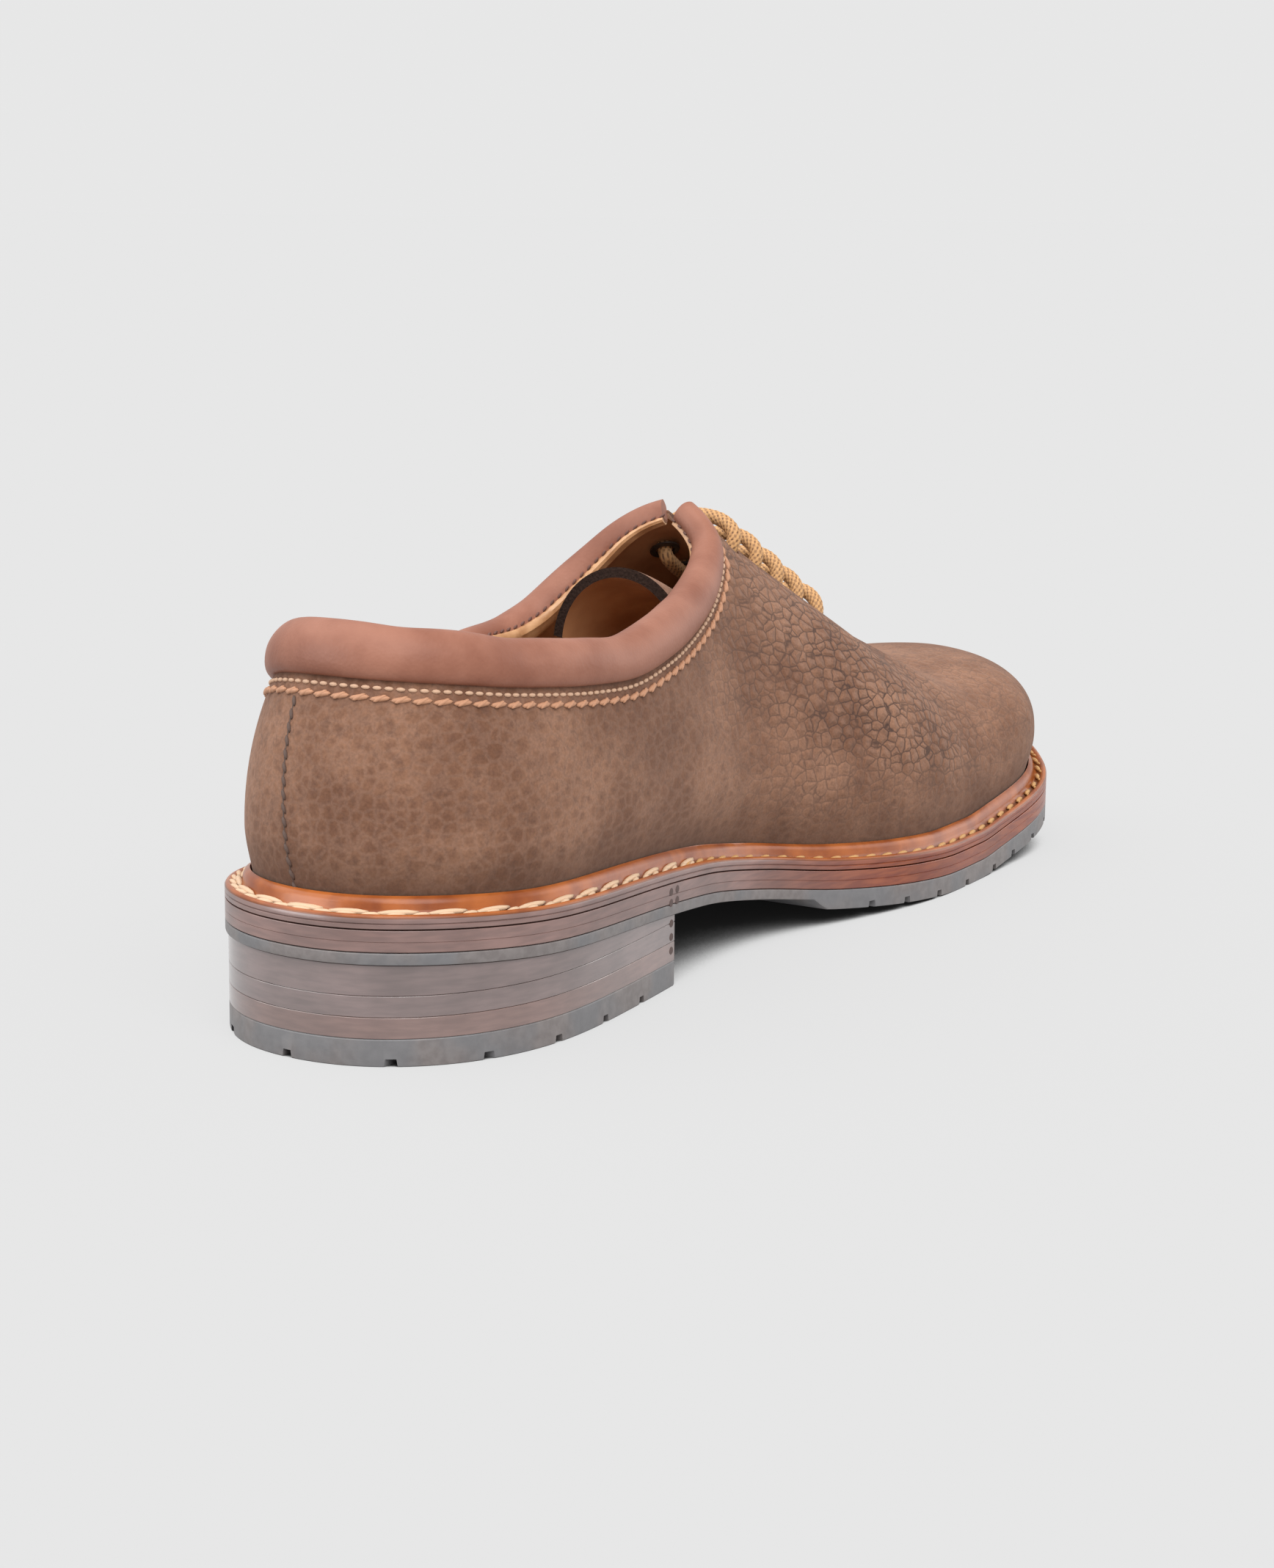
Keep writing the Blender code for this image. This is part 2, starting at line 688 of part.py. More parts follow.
def on_wall(station, side, from_crown, depth):
    """Point on the wall at a distance down from the throat's edge, moved inwards by a depth."""
    column = column_at(station, side)
    turn = column.turn_at_radius(throat_half_gap(station)) if station < THROAT_END else math.pi / 2
    steps = [column.high(turn - k * 0.002) for k in range(500) if turn - k * 0.002 > 0]
    run = 0.0
    for a, b in zip(steps, steps[1:]):
        piece = math.dist(a, b)
        if run + piece >= from_crown:
            share = (from_crown - run) / piece
            radius = a[0] + share * (b[0] - a[0])
            height = a[1] + share * (b[1] - a[1])
            slope = np.array([b[0] - a[0], b[1] - a[1]]) / piece
            break
        run += piece
    across = column.place(radius, height)
    ahead = column_at(station + EYELET_PITCH / 5, side)
    behind = column_at(station - EYELET_PITCH / 5, side)
    turn_here = column.turn_at_radius(radius)
    along = ahead.place(*ahead.high(turn_here)) - behind.place(*behind.high(turn_here))
    down = np.array([0.0, side * slope[0], slope[1]])
    normal = np.cross(along, down)
    normal /= np.linalg.norm(normal)
    if normal[2] < 0:
        normal = -normal
    return across - normal * depth, normal


def eyelet_place(row, side):
    station = THROAT_TOP + EYELET_FIRST + row * EYELET_PITCH
    return on_wall(station, side, EYELET_INSET, 0.0)


def frame_of(axis):
    axis = axis / np.linalg.norm(axis)
    helper = np.array([1.0, 0.0, 0.0]) if abs(axis[0]) < 0.8 else np.array([0.0, 1.0, 0.0])
    first = np.cross(axis, helper)
    first /= np.linalg.norm(first)
    return first, np.cross(axis, first)


def rod(start, end, radius, sides, points, faces):
    first, second = frame_of(end - start)
    base = len(points)
    for centre in (start, end):
        for k in range(sides):
            a = 2 * math.pi * (k + 0.37) / sides
            points.append(centre + radius * (math.cos(a) * first + math.sin(a) * second))
    faces += [(base + k, base + (k + 1) % sides, base + sides + (k + 1) % sides, base + sides + k) for k in range(sides)]
    faces += [tuple(base + k for k in range(sides)), tuple(base + sides + k for k in range(sides))]


def eyelets(group):
    """A washer on the lining round each lace hole."""
    sides = 8
    for side, label in ((-1, "inner"), (1, "outer")):
        for row in range(EYELET_ROWS):
            centre, normal = eyelet_place(row, side)
            top = centre - normal * (WALL + GAP + EYELET_SEAT)
            first, second = frame_of(normal)
            points = []
            for radius, depth in (
                (HOLE_RADIUS, 0.0), (EYELET_FLANGE, 0.0),
                (EYELET_FLANGE, EYELET_THICK), (HOLE_RADIUS, EYELET_THICK),
            ):
                for k in range(sides):
                    a = 2 * math.pi * k / sides
                    ring = radius * (math.cos(a) * first + math.sin(a) * second)
                    points.append(top - normal * depth + ring)
            faces = ring_faces(4, sides)
            faces += [(3 * sides + k, 3 * sides + (k + 1) % sides, (k + 1) % sides, k) for k in range(sides)]
            make("eyelet_%s_%d" % (label, row + 1), points, faces, "metal", group)


def sweep(line, section, points, faces):
    """Closed solid swept along a line of points with one ring of section points at each."""
    base, count = len(points), len(section[0])
    for ring in section:
        points += list(ring)
    for r in range(len(line) - 1):
        for k in range(count):
            m = (k + 1) % count
            faces.append((base + r * count + k, base + r * count + m, base + (r + 1) * count + m, base + (r + 1) * count + k))
    last = base + (len(line) - 1) * count
    faces.append(tuple(base + k for k in range(count)))
    faces.append(tuple(last + k for k in range(count)))


def lace_line():
    """Middle line of the lace: a bar over the throat at each pair of holes, a slant below between."""
    line = []
    for row in range(EYELET_ROWS):
        first, second = (-1, 1) if row % 2 == 0 else (1, -1)
        entry, entry_normal = eyelet_place(row, first)
        leave, leave_normal = eyelet_place(row, second)
        through = WALL + GAP + EYELET_SEAT + EYELET_THICK
        below = through + LACE_RADIUS + 2 * GAP
        line += [entry - entry_normal * below, entry - entry_normal * through, entry - entry_normal * WALL * 0.3]
        for share in (0.10, 0.30, 0.50, 0.70, 0.90):
            middle = entry * (1 - share) + leave * share
            lift = (LACE_ARCH + LACE_RADIUS) * (1 - (2 * share - 1) ** 4)
            ridge = LACE_ARCH * 0.24 * (1 - abs(2 * share - 1))
            normal = entry_normal * (1 - share) + leave_normal * share
            normal /= np.linalg.norm(normal)
            line.append(middle + normal * (lift + ridge))
        line += [leave - leave_normal * WALL * 0.3, leave - leave_normal * through, leave - leave_normal * below]
    return np.array(line)


def soften(line, times):
    """Cut the corners of an open line."""
    for _ in range(times):
        fresh = [line[0]]
        for a, b in zip(line, line[1:]):
            fresh += [a * 0.75 + b * 0.25, a * 0.25 + b * 0.75]
        fresh.append(line[-1])
        line = np.array(fresh)
    return line


def laces(group):
    line = soften(lace_line(), 1)
    tangent = np.gradient(line, axis=0)
    tangent /= np.linalg.norm(tangent, axis=1)[:, None]
    side = frame_of(tangent[0])[0]
    rings = []
    for p, t in zip(line, tangent):
        side = side - t * (side @ t)
        side /= np.linalg.norm(side)
        other = np.cross(t, side)
        rings.append([
            p + LACE_RADIUS * (math.cos(a) * side + math.sin(a) * other)
            for a in (2 * math.pi * k / LACE_SIDES for k in range(LACE_SIDES))
        ])
    points, faces = [], []
    sweep(line, rings, points, faces)
    make("lace", points, faces, "cord", group)


# Tongue: share of its length from the top, depth of its face below the crown of the last as a share
# of TONGUE_DEPTH, width along the wall as a share of TONGUE_WIDTH, how far its section is the free
# arch of its top end and not the wall's own section
TONGUE_LINE = (
    (0.00, 2.42, 1.00, 1.00),
    (0.15, 2.31, 1.00, 0.95),
    (0.28, 1.94, 1.00, 0.75),
    (0.43, 1.50, 1.00, 0.45),
    (0.57, 1.18, 1.00, 0.15),
    (0.71, 1.02, 1.00, 0.00),
    (0.85, 0.90, 0.98, 0.00),
    (1.00, 0.473, 0.80, 0.00),
)
TONGUE_ROWS = (0.0, 0.037, 0.084, 0.14, 0.215, 0.308, 0.421, 0.551, 0.682, 0.813, 0.907, 1.0)


def tongue_point(share, across):
    """Point on the tongue's upper face: across runs from -1 on the inner side to 1 on the outer."""
    station = TONGUE_TOP + (TONGUE_END - TONGUE_TOP) * share
    depth = TONGUE_DEPTH * smooth(share, TONGUE_LINE, 1)
    half = TONGUE_WIDTH / 2 * smooth(share, TONGUE_LINE, 2)
    side = -1 if across < 0 else 1
    column = column_at(station, side)
    turns = np.linspace(math.pi / 2, 0.2, 160)
    wall = np.array([column.high(t) for t in turns])
    slope = np.gradient(wall, axis=0)
    slope /= np.linalg.norm(slope, axis=1)[:, None]
    normal = np.stack([-slope[:, 1], slope[:, 0]], axis=1)
    normal[normal[:, 1] < 0] *= -1
    inner = wall - normal * depth
    inner = inner[inner[:, 0] >= 0]
    inner = np.vstack([[0.0, column.crown - depth], inner])
    run = np.concatenate([[0.0], np.cumsum(np.linalg.norm(np.diff(inner, axis=0), axis=1))])
    aim = half * abs(across)
    near_wall = column.place(float(np.interp(aim, run, inner[:, 0])), float(np.interp(aim, run, inner[:, 1])))
    turn = math.radians(84) * across
    arch = column.place(0.0, column.crown - depth - TONGUE_ARCH_DROP * (1 - math.cos(turn)))
    arch[1] += TONGUE_SHIFT + TONGUE_ARCH_WIDTH / 2 * math.sin(turn)
    free = smooth(share, TONGUE_LINE, 3)
    return near_wall * (1 - free) + arch * free


def tongue(group):
    steps = 12
    grid = []
    for share in TONGUE_ROWS:
        for k in range(steps + 1):
            grid.append(tongue_point(share, 2 * k / steps - 1))
    width = steps + 1
    faces = []
    for r in range(len(TONGUE_ROWS) - 1):
        for k in range(steps):
            faces.append((r * width + k, r * width + k + 1, (r + 1) * width + k + 1, (r + 1) * width + k))
    sheet = make("tongue", grid, faces, "nubuck", group)
    build = bmesh.new()
    build.from_mesh(sheet.data)
    if sum(f.normal.z * f.calc_area() for f in build.faces) < 0:
        bmesh.ops.reverse_faces(build, faces=build.faces)
    build.to_mesh(sheet.data)
    build.free()
    wall = sheet.modifiers.new("wall", "SOLIDIFY")
    wall.thickness = TONGUE_WALL
    wall.offset = -1.0
    wall.use_even_offset = False


def insole(group):
    points = []
    for rise in (INSOLE + GAP, GAP):
        for column in COLUMNS:
            radius = column.foot - WALL - 2 * GAP
            x = column.spine[0] + column.foot * column.way[0]
            points.append(column.place(radius, seat_line(x) + rise))
    faces = ring_faces(2, N) + cap_strip(0, N) + cap_strip(N, N)
    make("insole", points, faces, "lining", group)


# Section of the collar roll: share of the width outwards, share of the height upwards
ROLL_SECTION = (
    (0.28, 0.00), (0.47, 0.14), (0.56, 0.40), (0.50, 0.68), (0.30, 0.92),
    (0.00, 1.00), (-0.30, 0.92), (-0.50, 0.68), (-0.54, 0.38), (-0.44, 0.13), (-0.28, 0.00),
)
# Roll from either end at the throat: share of its run, share of its height on the inner and on the
# outer side, share of its width
ROLL_LINE = (
    (0.00, 0.43, 0.26, 0.66),
    (0.05, 0.58, 0.39, 0.80),
    (0.10, 0.74, 0.56, 0.92),
    (0.15, 0.81, 0.74, 1.00),
    (0.30, 0.85, 0.85, 1.00),
    (0.40, 0.95, 0.95, 1.00),
    (0.50, 1.00, 1.00, 1.00),
)


def collar_roll(group):
    """The padded roll along the top line, from the throat round the heel and back."""
    grid = shell_grid(LOW_ROWS, HIGH_ROWS)
    normals = surface_normals(grid)
    order = [i for i, c in enumerate(COLUMNS) if c.station <= THROAT_TOP + 1e-9]
    inner = [i for i in order if i < N // 2]
    outer = [i for i in order if i >= N // 2]
    run = inner[::-1] + outer[::-1]
    path, out = [], []
    for i in run:
        normal = normals[i, -2]
        path.append(grid[i, -1] - normal * WALL / 2)
        out.append(normal)
    path, out = np.array(path), np.array(out)
    tangent = np.gradient(path, axis=0)
    tangent /= np.linalg.norm(tangent, axis=1)[:, None]
    rings = []
    length = np.concatenate([[0.0], np.cumsum(np.linalg.norm(np.diff(path, axis=0), axis=1))])
    for k, (p, t, n) in enumerate(zip(path, tangent, out)):
        n = n - t * (n @ t)
        n /= np.linalg.norm(n)
        up = np.cross(t, n)
        below = grid[run[k], -2] - grid[run[k], -1]
        if up @ below > 0:
            up = -up
        share = min(length[k], length[-1] - length[k]) / length[-1]
        tall = ROLL_HEIGHT * smooth(share, ROLL_LINE, 1 if COLUMNS[run[k]].way[1] <= 0 else 2)
        wide = ROLL_WIDTH * smooth(share, ROLL_LINE, 3)
        rings.append([p + n * wide * a + up * (tall * b + ROLL_CLEAR) for a, b in ROLL_SECTION])
    points, faces = [], []
    sweep(path, rings, points, faces)
    make("collar_roll", points, faces, "collar_leather", group)


def build():
    clear()
    group = new_collection("wholecut_oxford")
    cutters = new_collection("cutters")
    sole_layers(group, cutters)
    heel(group, cutters)
    welt(group)
    insole(group)
    upper(group, cutters)
    collar_roll(group)
    tongue(group)
    eyelets(group)
    laces(group)


build()
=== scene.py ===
"""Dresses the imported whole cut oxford, left foot, and sets it on a pale floor for its picture."""
import math

import bmesh
import bpy
import numpy as np
from mathutils import Matrix, Vector


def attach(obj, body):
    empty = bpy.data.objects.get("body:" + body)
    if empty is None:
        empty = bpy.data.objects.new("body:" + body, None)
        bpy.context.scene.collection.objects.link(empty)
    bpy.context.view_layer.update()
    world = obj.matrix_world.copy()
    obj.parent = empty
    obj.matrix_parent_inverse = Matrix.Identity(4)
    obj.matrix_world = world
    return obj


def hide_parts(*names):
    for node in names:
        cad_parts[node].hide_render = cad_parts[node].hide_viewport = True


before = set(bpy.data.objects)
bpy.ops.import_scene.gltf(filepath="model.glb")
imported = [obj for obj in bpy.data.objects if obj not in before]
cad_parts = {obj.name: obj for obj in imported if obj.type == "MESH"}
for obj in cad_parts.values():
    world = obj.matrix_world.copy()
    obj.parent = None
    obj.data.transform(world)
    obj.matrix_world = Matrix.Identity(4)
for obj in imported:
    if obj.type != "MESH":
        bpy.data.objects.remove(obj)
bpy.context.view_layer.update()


# Insole: the leather board that the foot stands on and that the shoe is lasted over. It is the first
# piece on the last, so the last itself is described here: a sole outline, the line of the sole from
# the side, and upright columns that fan round the heel, cross the waist and fan round the toe.
SOLE_LENGTH = 0.300
HEEL_WIDTH = 0.076
WAIST_WIDTH = 0.069
BALL_WIDTH = 0.102
TOE_WIDTH = 0.098
TREAD = 0.0048
SEAT_RISE = 0.0182
TOE_SPRING = 0.0134
MIDSOLE = 0.0044
WELT_WIDTH = 0.0062
INSTEP_TOP = 0.1000
TOE_TOP = 0.0500
THROAT_TOP = 0.1474
THROAT_LENGTH = 0.0646
THROAT_END = THROAT_TOP + THROAT_LENGTH
BULGE = 0.0030
HEEL_BULGE = 0.0018
TOE_BULGE = 0.0030
WALL = 0.0022
GAP = 0.0003
INSOLE = 0.0035
FAN_STEPS = 36
MID_STEPS = 60

# Sole edge: station as a share of the length, the width it belongs to, share of that width
INNER_EDGE = (
    (0.010, HEEL_WIDTH, 0.188),
    (0.046, HEEL_WIDTH, 0.365),
    (0.115, HEEL_WIDTH, 0.482),
    (0.210, HEEL_WIDTH, 0.486),
    (0.320, WAIST_WIDTH, 0.486),
    (0.430, WAIST_WIDTH, 0.455),
    (0.530, BALL_WIDTH, 0.384),
    (0.630, BALL_WIDTH, 0.457),
    (0.715, BALL_WIDTH, 0.465),
    (0.800, BALL_WIDTH, 0.461),
    (0.880, TOE_WIDTH, 0.457),
    (0.950, TOE_WIDTH, 0.327),
    (0.988, TOE_WIDTH, 0.164),
    (1.000, BALL_WIDTH, 0.030),
)
OUTER_EDGE = (
    (0.988, TOE_WIDTH, 0.110),
    (0.945, TOE_WIDTH, 0.280),
    (0.870, TOE_WIDTH, 0.405),
    (0.780, BALL_WIDTH, 0.473),
    (0.690, BALL_WIDTH, 0.530),
    (0.610, BALL_WIDTH, 0.535),
    (0.520, BALL_WIDTH, 0.499),
    (0.420, WAIST_WIDTH, 0.645),
    (0.320, WAIST_WIDTH, 0.580),
    (0.210, HEEL_WIDTH, 0.500),
    (0.115, HEEL_WIDTH, 0.485),
    (0.046, HEEL_WIDTH, 0.375),
    (0.010, HEEL_WIDTH, 0.200),
)

# Underside of the midsole: station share, share of SEAT_RISE, share of TOE_SPRING
SOLE_LINE = (
    (0.00, 1.00, 0.00),
    (0.13, 0.90, 0.00),
    (0.26, 0.79, 0.00),
    (0.35, 0.65, 0.00),
    (0.44, 0.42, 0.00),
    (0.53, 0.18, 0.00),
    (0.62, 0.045, 0.00),
    (0.68, 0.00, 0.00),
    (0.73, 0.00, 0.00),
    (0.78, 0.00, 0.11),
    (0.84, 0.00, 0.30),
    (0.92, 0.00, 0.62),
    (1.00, 0.00, 1.00),
)

# Last: station share, crown height as a share of the way from TOE_TOP to INSTEP_TOP, crown shift as
# a share of BALL_WIDTH, inner and outer bulge as shares of BULGE, height of the bulge as a share of
# the section, fullness of the side and of the crown
LAST = (
    (0.115, 1.02, 0.000, 0.8, 0.8, 0.20, 1.30, 2.00),
    (0.210, 1.15, 0.000, 1.0, 1.0, 0.22, 1.45, 2.00),
    (0.310, 1.22, 0.000, 1.6, 1.0, 0.22, 1.40, 1.90),
    (0.400, 1.16, 0.000, 1.9, 0.8, 0.22, 1.45, 1.55),
    (0.467, 1.00, 0.000, 1.6, 0.6, 0.24, 1.60, 1.30),
    (0.553, 0.72, 0.000, 1.0, 0.6, 0.27, 1.75, 1.45),
    (0.630, 0.46, 0.000, 0.8, 0.8, 0.31, 1.85, 1.65),
    (0.715, 0.20, -0.010, 0.8, 0.8, 0.33, 1.95, 1.85),
    (0.790, 0.03, -0.020, 0.9, 0.9, 0.36, 2.10, 2.10),
    (0.870, 0.00, -0.030, 0.9, 0.9, 0.40, 2.50, 2.50),
)


def smooth(x, rows, column):
    """Value at x on a smooth line through one column of a table, without overshoot."""
    xs = np.array([row[0] for row in rows])
    ys = np.array([row[column] for row in rows])
    step = np.diff(xs)
    rate = np.diff(ys) / step
    slope = np.zeros(len(ys))
    for i in range(1, len(ys) - 1):
        if rate[i - 1] * rate[i] > 0:
            before = 2 * step[i] + step[i - 1]
            after = step[i] + 2 * step[i - 1]
            slope[i] = (before + after) / (before / rate[i - 1] + after / rate[i])
    x = np.clip(x, xs[0], xs[-1])
    k = int(np.clip(np.searchsorted(xs, x) - 1, 0, len(step) - 1))
    t = (x - xs[k]) / step[k]
    return float(
        ys[k] * (1 + 2 * t) * (1 - t) ** 2
        + slope[k] * step[k] * t * (1 - t) ** 2
        + ys[k + 1] * t * t * (3 - 2 * t)
        + slope[k + 1] * step[k] * t * t * (t - 1)
    )


def unit(rows):
    """Vectors brought to length one."""
    return rows / np.linalg.norm(rows, axis=-1, keepdims=True)


def closed_spline(points, count):
    """Dense closed line through the points, as a periodic cubic spline by chord length."""
    points = np.array(points)
    n = len(points)
    chord = np.sqrt(np.linalg.norm(np.roll(points, -1, 0) - points, axis=1))
    matrix = np.zeros((n, n))
    side = np.zeros((n, 2))
    for i in range(n):
        before, after = chord[i - 1], chord[i]
        matrix[i, i - 1] += before
        matrix[i, i] += 2 * (before + after)
        matrix[i, (i + 1) % n] += after
        side[i] = 6 * ((points[(i + 1) % n] - points[i]) / after - (points[i] - points[i - 1]) / before)
    bend = np.linalg.solve(matrix, side)
    line = []
    for i in range(n):
        j, h = (i + 1) % n, chord[i]
        for t in np.linspace(0, h, count // n, endpoint=False):
            rest = h - t
            line.append(
                (bend[i] * rest**3 + bend[j] * t**3) / (6 * h)
                + (points[i] / h - bend[i] * h / 6) * rest
                + (points[j] / h - bend[j] * h / 6) * t
            )
    return np.array(line)


edge_points = [(0.0, 0.0)]
edge_points += [(share * SOLE_LENGTH, -width * part) for share, width, part in INNER_EDGE]
edge_points += [(share * SOLE_LENGTH, width * part) for share, width, part in OUTER_EDGE]
EDGE = closed_spline(edge_points, 1120)
ORIGIN = (EDGE.min(0) + EDGE.max(0)) / 2
EDGE_OUT = np.roll(EDGE, -1, 0) - np.roll(EDGE, 1, 0)
EDGE_OUT = unit(np.stack([EDGE_OUT[:, 1], -EDGE_OUT[:, 0]], axis=1))
FEATHER = EDGE - EDGE_OUT * WELT_WIDTH
HEEL_CENTRE = LAST[0][0] * SOLE_LENGTH
TOE_CENTRE = LAST[-1][0] * SOLE_LENGTH


def reach(line, centre, way):
    """How far a closed line lies from the centre along a direction."""
    start = line - centre
    end = np.roll(start, -1, 0)
    side_a = way[0] * start[:, 1] - way[1] * start[:, 0]
    side_b = way[0] * end[:, 1] - way[1] * end[:, 0]
    crossing = np.nonzero((side_a > 0) != (side_b > 0))[0]
    share = side_a[crossing] / (side_a[crossing] - side_b[crossing])
    hits = start[crossing] + share[:, None] * (end[crossing] - start[crossing])
    return float((hits @ way).max())


def sole_line(x):
    share = x / SOLE_LENGTH
    return TREAD + SEAT_RISE * smooth(share, SOLE_LINE, 1) + TOE_SPRING * smooth(share, SOLE_LINE, 2)


def seat_line(x):
    return sole_line(x) + MIDSOLE


class Column:
    """One upright plane of the last: where it stands, which way it faces and the wall's shape in it."""

    def __init__(self, station, angle):
        self.station = station
        self.way = np.array([math.cos(angle), math.sin(angle)])
        share = station / SOLE_LENGTH
        self.crown = TOE_TOP + (INSTEP_TOP - TOE_TOP) * smooth(share, LAST, 1)
        self.spine = np.array([station, smooth(share, LAST, 2) * BALL_WIDTH])
        outer = (1 + self.way[1]) / 2
        side_bulge = smooth(share, LAST, 3) * (1 - outer) + smooth(share, LAST, 4) * outer
        end_bulge = HEEL_BULGE if self.way[0] < 0 else TOE_BULGE
        end = abs(self.way[0])
        self.bulge = BULGE * side_bulge * (1 - end) + end_bulge * end
        self.side_power = 2 / smooth(share, LAST, 6)
        self.crown_power = 2 / smooth(share, LAST, 7)
        self.foot = reach(FEATHER, self.spine, self.way)
        self.edge = reach(EDGE, self.spine, self.way)
        self.foot_x = self.spine[0] + self.foot * self.way[0]
        self.edge_x = self.spine[0] + self.edge * self.way[0]
        self.foot_height = seat_line(self.foot_x) + GAP
        self.bulge_rise = (self.crown - self.foot_height) * smooth(share, LAST, 5)

    def wide(self):
        return self.foot + self.bulge

    def low(self, part):
        return self.foot + self.bulge * part * part * (3 - 2 * part), self.foot_height + self.bulge_rise * part

    def high(self, turn):
        rise = self.crown - self.foot_height - self.bulge_rise
        radius = self.wide() * max(math.cos(turn), 0.0) ** self.side_power
        return radius, self.foot_height + self.bulge_rise + rise * math.sin(turn) ** self.crown_power

    def turn_at_radius(self, radius):
        return math.acos(min(1.0, (radius / self.wide()) ** (1 / self.side_power)))

    def turn_at_height(self, height):
        rise = self.crown - self.foot_height - self.bulge_rise
        share = (height - self.foot_height - self.bulge_rise) / rise
        return math.asin(min(1.0, max(share, 0.05) ** (1 / self.crown_power)))

    def place(self, radius, height):
        x, y = self.spine + radius * self.way - ORIGIN
        return np.array([x, y, height])

    def radius_near(self, height):
        return self.low(min(1.0, max(0.0, (height - self.foot_height) / self.bulge_rise)))[0]


SHARP = math.radians(38)


def new_piece(name, points, faces, body="root"):
    """A mesh piece with its doubles merged and its faces pointing outwards, riding on the shoe."""
    mesh = bpy.data.meshes.new(name)
    mesh.from_pydata([tuple(map(float, p)) for p in points], [], faces)
    work = bmesh.new()
    work.from_mesh(mesh)
    bmesh.ops.remove_doubles(work, verts=work.verts, dist=1e-6)
    bmesh.ops.recalc_face_normals(work, faces=work.faces)
    work.to_mesh(mesh)
    work.free()
    mesh.shade_smooth()
    mesh.set_sharp_from_angle(angle=SHARP)
    piece = bpy.data.objects.new(name, mesh)
    bpy.context.collection.objects.link(piece)
    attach(piece, body)
    return piece


def ring_faces(rings, count):
    """Quads between closed rings of points laid one after the other."""
    faces = []
    for r in range(rings - 1):
        for i in range(count):
            j = (i + 1) % count
            faces.append((r * count + i, r * count + j, (r + 1) * count + j, (r + 1) * count + i))
    return faces


def cap_strip(start, count):
    """Strips across the shoe from the inner to the outer side that close a ring."""
    faces = []
    for i in range(count // 2):
        corners = []
        for k in (i, i + 1, (count - i - 1) % count, (count - i) % count):
            if start + k not in corners:
                corners.append(start + k)
        if len(corners) > 2:
            faces.append(tuple(corners))
    return faces


class Graph:
    """A node tree and a short way to add nodes to it."""

    def __init__(self, tree):
        self.tree = tree

    def fill(self, target, inputs):
        """Set a node's inputs to values or join them to other nodes' outputs."""
        for key, value in inputs.items():
            if isinstance(value, bpy.types.NodeSocket):
                self.tree.links.new(value, target.inputs[key])
            else:
                target.inputs[key].default_value = value

    def node(self, kind, inputs=None, **settings):
        fresh = self.tree.nodes.new(kind)
        for key, value in settings.items():
            setattr(fresh, key, value)
        self.fill(fresh, inputs or {})
        return fresh


class Finish(Graph):
    """A Principled material, with short ways to add grain and wear in Object coordinates."""

    def __init__(self, name, colour, roughness, more=None):
        self.paint = bpy.data.materials.new(name)
        self.paint.use_nodes = True
        super().__init__(self.paint.node_tree)
        self.shader = self.tree.nodes["Principled BSDF"]
        self.fill(self.shader, {"Base Color": (*colour, 1.0), "Roughness": roughness, **(more or {})})
        self.spot = self.node("ShaderNodeTexCoord").outputs["Object"]

    def noise(self, scale, detail, **more):
        inputs = {"Vector": self.spot, "Scale": scale, "Detail": detail, **more}
        return self.node("ShaderNodeTexNoise", inputs).outputs["Fac"]

    def mark(self, name):
        """A value written on the mesh."""
        return self.node("ShaderNodeAttribute", attribute_name=name).outputs["Fac"]

    def times(self, *values):
        """Product of values."""
        result = values[0]
        for value in values[1:]:
            result = self.node("ShaderNodeMath", {0: result, 1: value}, operation="MULTIPLY").outputs[0]
        return result

    def stretched(self, scale):
        """Object coordinates stretched along the axes."""
        return self.node("ShaderNodeVectorMath", {0: self.spot, 1: scale}, operation="MULTIPLY").outputs[0]

    def blend(self, amount, first, second, mode="MIX"):
        """A colour mix of two colours or outputs."""
        inputs = {0: amount}
        for key, value in ((6, first), (7, second)):
            inputs[key] = value if isinstance(value, bpy.types.NodeSocket) else (*value, 1.0)
        return self.node("ShaderNodeMix", inputs, data_type="RGBA", blend_type=mode).outputs[2]

    def ramp(self, value, low, high, from_value=0.0, to_value=1.0):
        """Value squeezed between two limits, smoothly."""
        inputs = {"Value": value, "From Min": low, "From Max": high, "To Min": from_value, "To Max": to_value}
        return self.node("ShaderNodeMapRange", inputs, interpolation_type="SMOOTHSTEP").outputs["Result"]

    def shade(self, tone, value):
        """A colour made lighter or darker by a value."""
        grey = self.node("ShaderNodeCombineColor", {0: value, 1: value, 2: value}).outputs[0]
        return self.blend(1.0, tone, grey, "MULTIPLY")

    def colour(self, tone):
        self.fill(self.shader, {"Base Color": tone})

    def mottle(self, scale, detail, dark, light):
        """A cloudy colour between two tones, and the noise behind it."""
        cloud = self.noise(scale, detail)
        tone = self.blend(self.ramp(cloud, 0.3, 0.7), dark, light)
        self.colour(tone)
        return tone, cloud

    def raise_by(self, height, distance, strength, under=None):
        """Bump from a height output, on top of another bump if there is one."""
        inputs = {"Height": height, "Distance": distance, "Strength": strength}
        if under is not None:
            inputs["Normal"] = under
        bump = self.node("ShaderNodeBump", inputs).outputs["Normal"]
        self.fill(self.shader, {"Normal": bump})
        return bump


QUARTER = math.pi / 2
fan = [QUARTER * k / FAN_STEPS for k in range(FAN_STEPS)]
